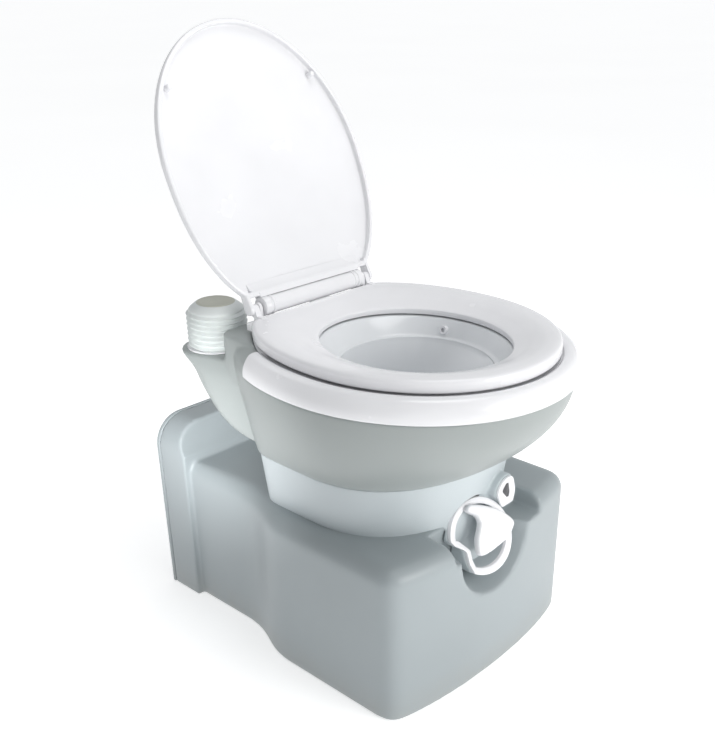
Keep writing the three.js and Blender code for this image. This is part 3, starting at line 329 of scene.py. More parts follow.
def ring(outline, z, count=RING_POINTS):
    return [(*outline(i / count * math.tau), z) for i in range(count)]


def behind_limit(limit, softness=3.0):
    """Keeps y from passing a limit, with a small round where an outline meets it."""
    def at(y):
        over = (y - limit) / softness
        return limit - softness * math.log1p(math.exp(-over)) if over > -30 else y
    return at


def limited(points, limit, softness=3.0):
    keep = behind_limit(limit, softness)
    return [(x, keep(y), z) for x, y, z in points]


def bezier(*controls, steps=12):
    """The points of a Bezier curve in any number of dimensions, both ends included."""
    points = []
    for i in range(steps + 1):
        share = i / steps
        level = [Vector(c) for c in controls]
        while len(level) > 1:
            level = [a.lerp(b, share) for a, b in zip(level, level[1:])]
        points.append(tuple(level[0]))
    return points


def through(points, steps=6, closed=False):
    """A smooth curve through the given points."""
    found = []
    count = len(points)
    spans = count if closed else count - 1
    for i in range(spans):
        if closed:
            a, b, c, d = (Vector(points[(i + k) % count]) for k in (-1, 0, 1, 2))
        else:
            a, b, c, d = (Vector(points[min(max(i + k, 0), count - 1)]) for k in (-1, 0, 1, 2))
        for step in range(steps):
            t = step / steps
            found.append(tuple(0.5 * (2 * b + (c - a) * t + (2 * a - 5 * b + 4 * c - d) * t ** 2
                                      + (3 * b - a - 3 * c + d) * t ** 3)))
    if not closed:
        found.append(tuple(points[-1]))
    return found


def rounded(points, radius, steps=5, closed=True):
    """A polygon with its corners rounded; radius is one number or one for each corner."""
    found = []
    count = len(points)
    for i, point in enumerate(points):
        size = radius[i] if isinstance(radius, (list, tuple)) else radius
        here = Vector(point)
        before = Vector(points[i - 1])
        after = Vector(points[(i + 1) % count])
        ends = not closed and i in (0, count - 1)
        if size <= 0 or ends:
            found.append(tuple(here))
            continue
        size = min(size, (before - here).length * 0.49, (after - here).length * 0.49)
        start = here + (before - here).normalized() * size
        end = here + (after - here).normalized() * size
        found.extend(bezier(start, here, end, steps=steps))
    return found


def mirrored(half):
    """The other half of a plan, whose first point lies on the middle line."""
    return half + [(-x, y) for x, y in reversed(half[1:])]


def inset(points, distance):
    found = []
    for i, (x, y) in enumerate(points):
        before = Vector(points[i - 1])
        after = Vector(points[(i + 1) % len(points)])
        along = (after - before).normalized()
        found.append((x - along.y * distance, y + along.x * distance))
    return found


def at_height(points, z):
    return [(x, y, z) for x, y in points]


# ---- Meshes ----------------------------------------------------------------------------------
def make(name, points, faces, sharp=35):
    mesh = bpy.data.meshes.new(name)
    mesh.from_pydata([Vector(p) * MM for p in points], [], faces)
    mesh.validate()
    made = bpy.data.objects.new(name, mesh)
    bpy.context.scene.collection.objects.link(made)
    smooth(made, sharp)
    return made


def smooth(piece, sharp=35):
    piece.data.polygons.foreach_set("use_smooth", [True] * len(piece.data.polygons))
    piece.data.set_sharp_from_angle(angle=math.radians(sharp))


def skin(name, rings, band=False, loop=True, caps=True, sharp=35):
    """Joins rings of equal count. A band closes on its first ring; a loop closes each ring."""
    count = len(rings[0])
    points = [p for r in rings for p in r]
    faces = []
    for r in range(len(rings) if band else len(rings) - 1):
        low = r * count
        high = (r + 1) % len(rings) * count
        for i in range(count if loop else count - 1):
            j = (i + 1) % count
            faces.append((low + i, low + j, high + j, high + i))
    if caps and not band:
        faces.append(tuple(reversed(range(count))))
        faces.append(tuple(range(len(points) - count, len(points))))
    if caps and not loop:
        strip = [r * count for r in range(len(rings))]
        faces.append(tuple(strip))
        faces.append(tuple(reversed([start + count - 1 for start in strip])))
    return make(name, points, faces, sharp)


def turned(name, x, y, profile, count=64, sharp=35):
    """A turned piece about an upright axis; profile is [radius, height], from bottom to top."""
    rings = [ring(circle(x, y, max(radius, 0.01)), z, count) for radius, z in profile]
    return skin(name, rings, sharp=sharp)


def turned_ring(name, x, y, profile, count=64, sharp=35):
    """A turned piece with a hole; its profile goes once round, outside first, upwards."""
    return skin(name, [ring(circle(x, y, radius), z, count) for radius, z in profile],
                band=True, sharp=sharp)


def upright(name, plan, z0, z1):
    """A plan of [x, y] points, drawn upwards from z0 to z1."""
    return skin(name, [at_height(plan, z0), at_height(plan, z1)])


def drawn_across(name, outline, x0, x1, sharp=35):
    """A side view of [y, z] points, drawn out from x0 to x1."""
    return skin(name, [[(x, y, z) for y, z in outline] for x in (x0, x1)], sharp=sharp)


def box_solid(x0, x1, y0, y1, z0, z1):
    return upright("box", [(x0, y0), (x1, y0), (x1, y1), (x0, y1)], z0, z1)


def drum(x, y, z0, z1, radius, top_radius=None, count=64):
    top = radius if top_radius is None else top_radius
    return skin("drum", [ring(circle(x, y, radius), z0, count), ring(circle(x, y, top), z1, count)])


def moved(piece, matrix):
    piece.data.transform(matrix)
    return piece


def along_x(piece):
    """Turns an upright solid drawn round the Z axis so that it lies along X, through the hinge."""
    turn = Matrix.Translation(Vector((0, HINGE.y, HINGE.z)) * MM) @ Matrix.Rotation(
        math.radians(90), 4, "Y")
    return moved(piece, turn)


def evaluated(piece):
    """Applies the modifiers of a piece."""
    graph = bpy.context.evaluated_depsgraph_get()
    mesh = bpy.data.meshes.new_from_object(piece.evaluated_get(graph))
    old = piece.data
    piece.modifiers.clear()
    piece.data = mesh
    bpy.data.meshes.remove(old)
    return piece


def remove(piece):
    mesh = piece.data
    bpy.data.objects.remove(piece)
    bpy.data.meshes.remove(mesh)


def boolean(piece, operation, others):
    for other in others:
        step = piece.modifiers.new("boolean", "BOOLEAN")
        step.operation = operation
        step.solver = "MANIFOLD"
        step.object = other
        evaluated(piece)
        remove(other)
    return piece


def joined(first, *others):
    return boolean(first, "UNION", others)


def cut(first, *others):
    return boolean(first, "DIFFERENCE", others)


def common(first, *others):
    return boolean(first, "INTERSECT", others)


def melted(piece, voxel, passes, sharp=60):
    """Turns every edge and join of a moulding into a fillet."""
    remesh = piece.modifiers.new("remesh", "REMESH")
    remesh.mode = "VOXEL"
    remesh.voxel_size = voxel * MM
    relax = piece.modifiers.new("relax", "SMOOTH")
    relax.factor = 0.5
    relax.iterations = passes
    evaluated(piece)
    smooth(piece, sharp)
    return piece


def finished(piece, name, body, slot, *nodes, material=None):
    """Names a piece, gives it its material, and lets it stand for its CAD nodes."""
    piece.name = name
    piece.data.name = name
    piece.data.materials.clear()
    piece.data.materials.append(MATERIALS[material or slot])
    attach(piece, body)
    if nodes:
        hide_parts(*nodes)
    return piece


def softened(piece, width, segments=3, angle=40):
    """A small round on the edges of a crisp piece."""
    bevel = piece.modifiers.new("soft edges", "BEVEL")
    bevel.width = width * MM
    bevel.segments = segments
    bevel.limit_method = "ANGLE"
    bevel.angle_limit = math.radians(angle)
    bevel.harden_normals = True
    return piece


# ---- Waste tank ------------------------------------------------------------------------------
def tank_plan(back):
    side = TANK_HALF_WIDTH
    half = bezier((0, TANK_FRONT), (85, TANK_FRONT), (150, TANK_FRONT + 14), steps=16)
    half += bezier((150, TANK_FRONT + 14), (176, TANK_FRONT + 20), (side, -236), (side, -204),
                   steps=16)[1:]
    half += bezier((side, -40), (side, 14), (TANK_WAIST, 24), (TANK_WAIST, 88), steps=24)
    half.append((TANK_WAIST, back))
    return mirrored(half)


def tank_block(plan, foot, top_radius, low, top):
    """The tank's plan drawn upwards, with a small round at the foot and a larger one on top."""
    section = arc(foot, low + foot, foot, 270, 180, 4)
    section += arc(top_radius, top - top_radius, top_radius, 180, 90, 8)
    return skin("tank_block", [at_height(inset(plan, distance), z) for distance, z in section])


def panel_outline(shrink):
    """The rear panel seen from the front: square at its foot, round at its two upper corners."""
    half = PANEL_HALF_WIDTH - shrink
    top = PANEL_TOP - shrink
    corner = PANEL_CORNER - shrink
    points = [(-half, shrink), (half, shrink)]
    points += arc(half - corner, top - corner, corner, 0, 90, 16)
    points += arc(corner - half, top - corner, corner, 90, 180, 16)
    return points


def upright_panel(section):
    """The panel's outline at several depths; section is [shrink, y], from the front to the back."""
    rings = []
    for shrink, y in section:
        rings.append([(x, y, z) for x, z in panel_outline(shrink)])
    return skin("panel", [list(reversed(r)) for r in rings])


def panel_scoop(grow):
    """The hollow in front of the rear panel: a concave sweep up to the panel's top."""
    radius = 56 + grow
    middle_y, middle_z = 150, TANK_TOP + 49
    front, above = 90, 330
    sweep = arc(middle_y, middle_z, radius, -61, 0, 24)
    side = [(front, sweep[0][1])] + sweep + [(middle_y + radius, above), (front, above)]
    return drawn_across("scoop", side, -200, 200)


def along_y(piece, x, z, y0):
    """Turns an upright solid that stands on the origin so that it runs back from y0."""
    turn = Matrix.Translation(Vector((x, y0, z)) * MM) @ Matrix.Rotation(math.radians(-90), 4, "X")
    return moved(piece, turn)


def valve_recess(grow):
    """A round well with a flared mouth, and a notch over it for the collar's face and window."""
    front = TANK_FRONT - 4
    back = -203 + grow
    mouth = along_y(drum(0, 0, 0, -214 + grow - front, 74 + grow, 56 + grow), FACE.x, FACE.z, front)
    well = along_y(drum(0, 0, 0, back - front, 56 + grow), FACE.x, FACE.z, front)
    notch = box_solid(-86 - grow, 102 + grow, front, back, FACE.z - grow, TANK_TOP + 20)
    return joined(mouth, well, notch)


def holding_tank():
    body = tank_block(tank_plan(236), 6, 24, 0, TANK_TOP)
    panel = cut(upright_panel([(0, PANEL_FRONT), (0, PANEL_BACK)]), panel_scoop(0))
    outside = melted(cut(joined(body, panel), valve_recess(0)), 2.6, 9)
    hollow = tank_block(inset(tank_plan(232), 6), 6, 20, 5, TANK_TOP - 5)
    shut = cut(hollow, valve_recess(7))
    holes = [drum(0, VALVE_Y, TANK_TOP - 12, TANK_TOP + 4, 52)]
    for node, radius in (("pour_spout", 26), ("vent_body", 7)):
        low, high = box(node)
        middle = (low + high) / 2
        holes.append(drum(middle.x, middle.y, TANK_TOP - 12, TANK_TOP + 4, radius))
    tank = cut(outside, shut, *holes)
    smooth(tank, 50)
    return finished(tank, "tank_casing", "waste_tank", "tank_grey", "holding_tank")


def rear_cover():
    """The moulded plate on the back, with a soft edge, a shallow field and a finger grip."""
    front = box("rear_cover")[0].y
    back = box("rear_cover")[1].y
    edge = rounded([(1, front), (0, front + 1.5), (0, back - 1), (3.5, back)], 2, 4, closed=False)
    plate = upright_panel(edge + [(24, back), (27, back - 1.5)])
    grip_plan = rounded([(-56, -15), (56, -15), (56, 15), (-56, 15)], 14)
    grip_place = Matrix.Translation(Vector((0, back + 1, 212)) * MM) @ Matrix.Rotation(math.pi / 2, 4, "X")
    grip = moved(upright("grip", grip_plan, 0, 10), grip_place)
    ribs = [box_solid(x - 2, x + 2, back - 3.2, back + 1, 36, 150) for x in (-84, -28, 28, 84)]
    cover = cut(plate, grip, *ribs)
    return finished(softened(cover, 0.9), "tank_back_cover", "waste_tank", "tank_grey", "rear_cover")


# ---- Valve collar, bezels and handle ---------------------------------------------------------
def on_face(points, height, way=FACE_NORMAL):
    """Places [across, up] points on the sloping valve face, at a height along the given way."""
    return [tuple(FACE + FACE_ACROSS * u + FACE_UP * w + way * height) for u, w in points]


def face_outline(shrink, steps=56):
    """Round, with a step at its lower left that leaves room for the fingers."""
    points = arc(0, 0, FACE_RADIUS - shrink, -122.4, 171, steps)
    step_left = [
        (-47 + shrink, 1 + shrink * 0.4), (-34 + shrink * 0.8, -9), (-31 + shrink * 0.8, -13),
        (-32 + shrink * 0.8, -30 + shrink * 0.5)]
    return points + rounded(step_left, [1.5, 4, 3, 0], 4, closed=False)


def face_solid(shrink, start, end, way=FORWARDS):
    outline = face_outline(shrink)
    return skin("face", [on_face(outline, start, way), on_face(outline, end, way)])


def teardrop(shrink, steps=6):
    left = -20 + shrink
    corners = [(-9 + shrink * 0.4, -21 + shrink), (15 - shrink, -21 + shrink), (20 - shrink, -5),
               (12 - shrink * 0.6, 21 - shrink), (-8 + shrink * 0.3, 21 - shrink), (left + 1, 10),
               (left, 0)]
    return rounded(corners, [2, 3, 8, 9, 9, 8, 6], steps)


def at_window(points, depth):
    return [(WINDOW.x + x, WINDOW.y + depth, WINDOW.z + z) for x, z in points]


def window_solid(shrink, start, end):
    outline = teardrop(shrink)
    return skin("window", [at_window(outline, start), at_window(outline, end)])


def collar_wall(shrink, low, high):
    rings = []
    for i in range(9):
        z = low + (high - low) * i / 8
        share = (z - COLLAR_BOTTOM) / (COLLAR_TOP - COLLAR_BOTTOM)
        foot = collar_plan(-8 - shrink, -13 - shrink, -4 - shrink)
        rings.append(ring(blend(foot, collar_plan(-shrink), share), z))
    return skin("collar_wall", rings)


def valve_room():
    """The space in the tank's recess, and above the tank further back."""
    half, front, top = 90, -262, 290
    low = box_solid(-half, half, front, -204, 120, top)
    high = box_solid(-half, half, front, -190, COLLAR_BOTTOM, top)
    return joined(low, high)


def valve_collar():
    wall = collar_wall(0, COLLAR_BOTTOM - 7, COLLAR_TOP)
    boss = common(face_solid(-1.5, -60, -5.3), valve_room())
    window_boss = common(window_solid(-2, 3.3, 44), valve_room())
    clear = joined(face_solid(-3, -5.3, 60), face_solid(-3, 0, 60, FACE_NORMAL))
    outside = melted(joined(cut(joined(wall, window_boss), clear), boss), 1.8, 5)
    rod_way = along_y(drum(0, 0, 0, 120, 4), 0, 234, -300)
    well = common(face_solid(9, -28, 4), box_solid(-90, 90, -300, -207, 100, 300))
    collar = cut(outside, collar_wall(4.5, COLLAR_BOTTOM - 12, COLLAR_TOP - 4.5),
                 drum(0, VALVE_Y, COLLAR_TOP - 10, COLLAR_TOP + 5, 72), well,
                 window_solid(6, -4, 20), rod_way)
    smooth(collar, 45)
    # collar_grey paints this collar lighter than the tank plastic it shares: painted light
    return finished(collar, "collar", "waste_tank", "collar_grey", "valve_collar")


def frame_ring(name, outer, inner, place, section):
    """A closed frame between two outlines; section is [share from outer to inner, depth]."""
    rings = []
    for share, depth in section:
        between = [tuple(Vector(a).lerp(Vector(b), share)) for a, b in zip(outer, inner)]
        rings.append(place(between, depth))
    return skin(name, rings, band=True, sharp=50)


def valve_bezel():
    section = rounded([(0, -5), (0, 0.2), (0.32, 1.0), (1, -0.8), (1, -5)], [0, 0.25, 0.3, 0.4, 0], 4)
    bezel = frame_ring("bezel", face_outline(0), face_outline(9),
                       lambda points, depth: on_face(points, depth, FORWARDS), section)
    return finished(bezel, "valve_surround", "waste_tank", "white_plastic", "valve_bezel")


def window_edge(grow):
    """The three-cornered window; it has as many points as the teardrop round it."""
    corners = [(2 - grow, -10 - grow), (7 + grow, -11 - grow), (8.5 + grow, -4), (5 + grow, 11 + grow),
               (-1, 12 + grow), (-8 - grow, 5), (-8 - grow, 1 - grow)]
    return rounded(corners, [1, 1.5, 4, 1.5, 1.5, 1.5, 1.5], 6)


def indicator():
    section = rounded([(0, 3), (0, -0.2), (0.3, -0.8), (1, 1.2), (1, 3)], [0, 0.3, 0.3, 0.4, 0], 4)
    bezel = frame_ring("indicator", teardrop(0), window_edge(0), at_window, section)
    finished(bezel, "window_surround", "waste_tank", "white_plastic", "indicator_bezel")
    lens = skin("lens", [at_window(window_edge(grow), depth)
                         for grow, depth in ((0.6, 3.4), (0.6, 2.4), (-0.6, 2.0))])
    finished(lens, "window_lens", "waste_tank", "dark_window", "indicator_lens")


def pull_handle():
    """A thick wing, fullest in its middle, with its edges rolled over."""
    wing = through([(-18, 41), (-13, 46.5), (-2, 44.5), (16, 37), (36, 25), (50, 11), (54, 3),
                    (51, -4), (36, -15), (10, -22), (-8, -24.5), (-17, -22), (-18.5, -14),
                    (-15, 0), (-8, 11), (-3.5, 20), (-6, 29), (-14, 35)], 5, closed=True)
    middle = Vector((14, 10))
    rings = []
    for shrink, height in bezier((0.5, 1.2), (0, 4), (0, 8), (1.5, 9.6), (4, 10), steps=10):
        rings.append(on_face(inset(wing, -shrink), height))
    for share in (0.8, 0.5, 0.2):
        points = [tuple(middle.lerp(Vector(p), share)) for p in inset(wing, -4)]
        rings.append(on_face(points, 10 + (1 - share) * 1.2))
    handle = skin("handle", rings, sharp=60)
    return finished(handle, "pull_grip", "slide_valve", "white_plastic", "pull_handle")


# ---- Upper shell -----------------------------------------------------------------------------
def shell_flare(shrink, low, high, steps=28):
    foot = collar_plan(2 - shrink, -shrink, -shrink)
    head = shell_egg(-shrink)
    bottom = COLLAR_TOP + FIT_GAP
    rings = []
    for i in range(steps + 1):
        z = low + (high - low) * (i / steps) ** 1.4
        rise = min(1, (z - bottom) / (RIM_BOTTOM - bottom))
        rings.append(ring(blend(foot, head, math.sin(math.pi / 2 * rise) ** 0.8), z))
    return skin("flare", rings)


def rear_plan(half, back, shrink):
    """The plan of the shell behind the bowl, with large rounds on its two rear corners."""
    corner = 46 - shrink
    waist = min(148, half) - shrink
    half -= shrink
    back -= shrink
    side = [(waist, -80), (waist, back - 102)]
    side += arc(half - corner, back - corner, corner, 0, 90, 12)
    return side + [(-x, y) for x, y in reversed(side)]


def rear_box(shrink):
    """The box below the pump; its sides and its back draw in towards the collar.

    LEVEL_STEP keeps apart the levels that shrinking would bring to one height.
    """
    bottom = COLLAR_TOP + FIT_GAP
    levels = through([(145, 72, bottom), (149, 104, bottom + 4), (151, 133, 313), (154, 157, 332),
                      (158, 177, 362), (161, 187, 385), (163, DECK_BACK - 1, DECK_Z - 5),
                      (DECK_HALF_WIDTH, DECK_BACK, DECK_Z)], 3)
    rings = []
    for half, back, z in levels:
        height = min(max(z, bottom + shrink), DECK_Z - shrink) + z * LEVEL_STEP
        rings.append(at_height(rear_plan(half, back, shrink), height))
    return skin("rear_box", rings)


def hinge_deck(shrink):
    """The flat deck under the hinge, with a low ridge along its back."""
    plan = [(-146 + shrink, -20), (146 - shrink, -20), (132 - shrink, 112 - shrink),
            (-132 + shrink, 112 - shrink)]
    deck = upright("hinge_deck", plan, DECK_Z - 30, SHELL_TOP - shrink)
    ridge = box_solid(-116 + shrink, 116 - shrink, 96 + shrink, 108 - shrink, DECK_Z, 448 - shrink)
    return joined(deck, ridge)


def rear_rim(shrink, top):
    """The rim behind the white band, cut off at the given height."""
    levels = [(shell_egg(-shrink), RIM_BOTTOM - 3 - shrink),
              (seat_egg(22 - shrink, 15 - shrink, 20 - shrink), 431 - shrink),
              (seat_egg(4 - shrink), RIM_TOP - 2 - shrink), (seat_egg(-shrink), RIM_TOP - shrink)]
    body = skin("rear_rim", [ring(outline, z) for outline, z in levels])
    before = box_solid(-300, 300, -400, RIM_BAND_END + FIT_GAP + shrink, 300, 500)
    return cut(body, before, box_solid(-300, 300, -400, 300, top, 500))


def fairing(side, shrink):
    """The low wall between the rim and the pump."""
    outside = 150 - shrink
    front = RIM_BAND_END + 8 + shrink
    back = 112 - shrink
    plan = [(108 + shrink, front), (outside, front)]
    plan += bezier((outside, back - 22), (outside, back), (outside - 22, back), steps=10)
    plan.append((108 + shrink, back))
    if side < 0:
        plan = [(-x, y) for x, y in reversed(plan)]
    return upright("fairing", plan, DECK_Z - 30, FAIRING_TOP - shrink)


def rim_seat(grow):
    outline = seat_egg(FIT_GAP - 1 + grow)
    return skin("rim_seat", [ring(outline, SHELL_TOP - grow), ring(outline, FAIRING_TOP + 1)])


def upper_shell():
    under_rim = skin("under_rim", [ring(shell_egg(-8), RIM_BOTTOM - 2), ring(seat_egg(-8), SHELL_TOP)])
    raised = cut(joined(rear_rim(0, RIM_TOP), fairing(-1, 0), fairing(1, 0)), rim_seat(0))
    outside = joined(shell_flare(0, COLLAR_TOP + FIT_GAP, RIM_BOTTOM), under_rim, rear_box(0),
                     hinge_deck(0), raised)
    outside = melted(outside, 2.4, 8)
    wall = SHELL_WALL
    inside = joined(
        shell_flare(wall, COLLAR_TOP + wall, RIM_BOTTOM - 4),
        skin("under_rim", [ring(shell_egg(-15), RIM_BOTTOM - 5), ring(seat_egg(-16), SHELL_TOP - wall)]),
        rear_box(wall), hinge_deck(wall))
    mouth = skin("mouth", [ring(mouth_egg(3), 415), ring(mouth_egg(3), 441)])
    holes = [drum(0, VALVE_Y, COLLAR_TOP - 5, COLLAR_TOP + 20, 62),
             drum(PUMP.x, PUMP.y, DECK_Z - 12, DECK_Z + 3, 22)]
    neck_low, neck_high = box("filler_neck")
    neck = (neck_low + neck_high) / 2
    holes.append(drum(neck.x, neck.y, DECK_Z - 12, DECK_Z + 3, 24))
    shell = cut(outside, inside, mouth, *holes)
    smooth(shell, 50)
    return finished(shell, "shell_casing", "upper_unit", "shell_grey", "upper_shell")


# ---- Rim and bowl ----------------------------------------------------------------------------
def section_hoop(outer, inner, section, count=RING_POINTS, width=60):
    """A closed hoop between two outlines; section is [distance in from the outer one, height]."""
    return [ring(blend(outer, inner, distance / width), z, count) for distance, z in section]


def rim_band():
    """The white band round the front, and the flat plate that lies on the shell behind it."""
    side = through([(27.5, 419.3), (29.4, 421), (29.8, 427), (28.2, 434), (24.6, 440.5), (19.5, 446),
                    (13.5, 448), (7.5, 448), (3.4, 446.6), (1.6, 444.6), (-2, 443.6), (-4, 441)], 3)
    side += [(12, 436), (22, 430), (24, 419.3)]
    rings = []
    for grow, z in side:
        outline = seat_egg(grow, grow * 0.82, grow * 0.75)
        turns = [(i / 60 - 1) * RIM_BAND_SWEEP for i in range(121)]
        rings.append([(*outline(angle), z) for angle in turns])
    band = skin("band", rings, band=True, loop=False, sharp=50)
    behind = box_solid(-300, 300, RIM_BAND_END, 300, 400, 460)
    band = softened(cut(band, behind), 1.6, 4, 60)
    finished(band, "rim_front_band", "upper_unit", "white_plastic", "rim_band")
    plate_section = [(0, RIM_TOP - 3), (0, RIM_TOP - 0.6), (0.7, RIM_TOP), (48, RIM_TOP),
                     (48.6, RIM_TOP - 0.5), (48.6, RIM_TOP - 3)]
    hoop = [limited(points, 102) for points in section_hoop(seat_egg(-1), mouth_egg(0), plate_section)]
    plate = skin("plate", hoop, band=True)
    finished(plate, "rim_top_plate", "upper_unit", "white_plastic")


def shelf(grow):
    """The ledge between the bowl's upper wall and its funnel."""
    return egg(104 + grow, 114 + grow, 105 + grow, BOWL_CENTRE - 9, 2.0, 2.0)


def throat(grow):
    return circle(0, VALVE_Y, 36 + grow)


def bowl():
    """A steep upper wall, a narrow ledge and a funnel to the valve."""
    funnel = [(0.0, 413.5), (0.05, 409), (0.13, 401), (0.22, 392), (0.36, 374), (0.5, 355), (0.64, 336),
              (0.78, 318), (0.92, 301)]
    inner = [ring(blend(shelf(-5), throat(0), share), z) for share, z in funnel]
    outer = [ring(blend(shelf(-2), throat(3), share), z - 2) for share, z in funnel]
    throat_bottom, throat_top = 262.5, 290
    rings = [ring(throat(3), throat_bottom), ring(throat(3), throat_top)]
    rings += list(reversed(outer))
    rings += [ring(shelf(3), 413), ring(mouth_egg(1.5), 435), ring(mouth_egg(1.5), 437.3),
              ring(mouth_egg(10), 437.3), ring(mouth_egg(10), 439.7), ring(mouth_egg(1.5), 439.7)]
    for share in (0.02, 0.08, 0.2, 0.4, 0.6, 0.8, 0.92, 1.0):
        rings.append(ring(blend(mouth_egg(-1), shelf(0.4), share), 439.2 - 21.4 * share ** 1.15))
    rings += [ring(shelf(-0.8), 417.1), ring(shelf(-4), 416.6), ring(shelf(-4.8), 416)]
    rings += inner
    rings += [ring(throat(0), throat_top), ring(throat(0), throat_bottom)]
    basin = skin("basin", rings, band=True, sharp=40)
    return finished(basin, "bowl_basin", "upper_unit", "bowl_cream", "bowl")


# ---- Pump ------------------------------------------------------------------------------------
def pump():
    """The folded bellows and the cap on top of it."""
    folds = 7
    steps = 10
    low = BELLOWS_LOW.z
    folds_top = 460
    pitch = (folds_top - low) / folds
    profile = [(BELLOWS_RADIUS - 6, low)]
    for i in range(folds * steps + 1):
        phase = i / steps * math.tau
        depth = (0.5 + 0.5 * math.cos(phase)) ** 0.7
        profile.append((BELLOWS_RADIUS - 0.2 - 4.6 * depth, low + 0.2 + i * pitch / steps))
    profile += bezier((BELLOWS_RADIUS - 4.8, 460.2), (BELLOWS_RADIUS - 2, 462), (33, 466), (28.5, 470),
                      steps=8)[1:]
    profile += [(27, 470.6), (24, 470)]
    profile += [(31, 463), (BELLOWS_RADIUS - 8, 458), (BELLOWS_RADIUS - 8, low)]
    wall = turned_ring("wall", PUMP.x, PUMP.y, profile, 96, 60)
    finished(wall, "bellows_wall", "upper_unit", "bellows_rubber", "bellows")
    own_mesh(wall)
    top = PUMP_TOP
    cap_profile = [(21, top - 9), (21.5, top - 3)] + bezier((25.6, top - 2.6), (27.2, top - 1.6),
                   (26.2, top - 0.2), (23, top - 0.05), steps=6) + [(20, top - 0.5), (0, top - 0.8)]
    cap = turned("cap", PUMP.x, PUMP.y, cap_profile, 80, 50)
    finished(cap, "bellows_cap", "pump_button", "bellows_rubber", "pump_cap", material="cap_beige")


def coil_spring(node, body, wire, turns):
    """A wound wire spring inside the CAD sleeve's size."""
    low, high = box(node)
    middle = (low + high) / 2
    radius = (high.x - low.x) / 2 - wire
    round_steps = 24
    steps = turns * round_steps
    rings = []
    for i in range(steps + 1):
        angle = i / round_steps * math.tau
        out = Vector((math.sin(angle), -math.cos(angle), 0))
        centre = Vector((middle.x, middle.y, low.z + wire + (high.z - low.z - 2 * wire) * i / steps))
        centre += out * radius
        rings.append([tuple(centre + out * wire * math.cos(k / 8 * math.tau)
                            - Vector((0, 0, wire * math.sin(k / 8 * math.tau)))) for k in range(8)])
    coil = skin("coil", rings, sharp=60)
    finished(coil, f"{node}_coil", body, "steel", node)
    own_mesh(coil)


# ---- Seat ------------------------------------------------------------------------------------
def seat():
    top = SEAT_EDGE_TOP
    section = through([(3, SEAT_BOTTOM + 0.5), (0.4, SEAT_BOTTOM + 3), (0, SEAT_BOTTOM + 8), (0.2, top - 4),
                       (2.4, top - 1), (7, top), (14, top), (24, top - 1), (36, top - 4.2), (46, top - 8),
                       (55, top - 11.5), (60.5, top - 14), (61.6, top - 16), (61.4, top - 21),
                       (59.8, top - 22.6)], 5)
    section += [(57, SEAT_BOTTOM), (52, SEAT_BOTTOM + 5), (9, SEAT_BOTTOM + 5), (6, SEAT_BOTTOM)]
    rings = section_hoop(seat_egg(0), mouth_egg(-1), section, 180, 62)
    limited_rings = []
    for points, (distance, _) in zip(rings, section):
        limited_rings.append(limited(points, SEAT_CUT + 5 - 0.3 * max(0, min(distance, 9)), 2.5))
    ring_piece = skin("seat", limited_rings, band=True, sharp=50)
    lugs = []
    for side in (-1, 1):
        x0 = LUG_IN if side > 0 else -LUG_IN - LUG_WIDTH
        outline = [(40, 450), (66, 449.5), (78, 459)]
        outline += arc(HINGE.y, HINGE.z - 1, 7, -50, 170, 12)
        outline += [(76, 465.4), (66, 464.6), (56, 461), (40, 459)]
        lug = drawn_across("lug", outline, x0, x0 + LUG_WIDTH, 30)
        tab = at_height(rounded([(108 * side, 50), (126 * side, 50), (126 * side, 82), (108 * side, 82)],
                                [0, 2, 6, 2]), 450.5)
        if side < 0:
            tab.reverse()
        lugs += [lug, skin("tab", [tab, [(x, y, 458.5) for x, y, _ in tab]])]
    pin_way = along_x(drum(0, 0, -130, 130, 4.4, count=32))
    whole = cut(joined(ring_piece, *lugs), pin_way)
    smooth(whole, 45)
    softened(whole, 0.8, 2, 50)
    return finished(whole, "seat_top", "seat", "white_plastic", "seat_ring")


def seat_pads():
    for place in ("front_left", "front_right", "rear_left", "rear_right"):
        low, high = box(f"seat_buffer_{place}")
        middle = (low + high) / 2
        profile = rounded([(0.2, low.z), (7, low.z), (6, SEAT_BOTTOM + 5), (0.2, SEAT_BOTTOM + 5)],
                          [0, 1.2, 0.5, 0], 4, closed=False)
        pad = turned("pad", middle.x, middle.y, profile, 32)
        finished(pad, f"seat_pad_{place}", "seat", "black_rubber", f"seat_buffer_{place}")


# ---- Lid -------------------------------------------------------------------------------------
def hinge_arc(radius, start, end, steps=12):
    """Points [y, z] round the hinge, at angles from the back upwards, in degrees."""
    return arc(HINGE.y, HINGE.z, radius, start, end, steps)


def lid_ear(side):
    """The lid's rear corner, carried back past the end of the hinge."""
    sections = []
    for x, shrink in ((EAR_IN, 0), (EAR_OUT - 1.6, 0), (EAR_OUT - 0.5, 0.6), (EAR_OUT, 2)):
        outline = [(SEAT_CUT - 9, LID_BOTTOM + 1 + shrink)] + hinge_arc(8 - shrink, -110, 100)
        outline.append((SEAT_CUT - 9, LID_BOTTOM + 12.6 - shrink))
        sections.append([(x * side, y, z) for y, z in outline])
    corner = box_solid(min(101 * side, 114 * side), max(101 * side, 114 * side), SEAT_CUT - 5,
                       SEAT_CUT + 2, LID_BOTTOM + 1, LID_BOTTOM + 12)
    return joined(skin("ear", sections, sharp=50), corner)


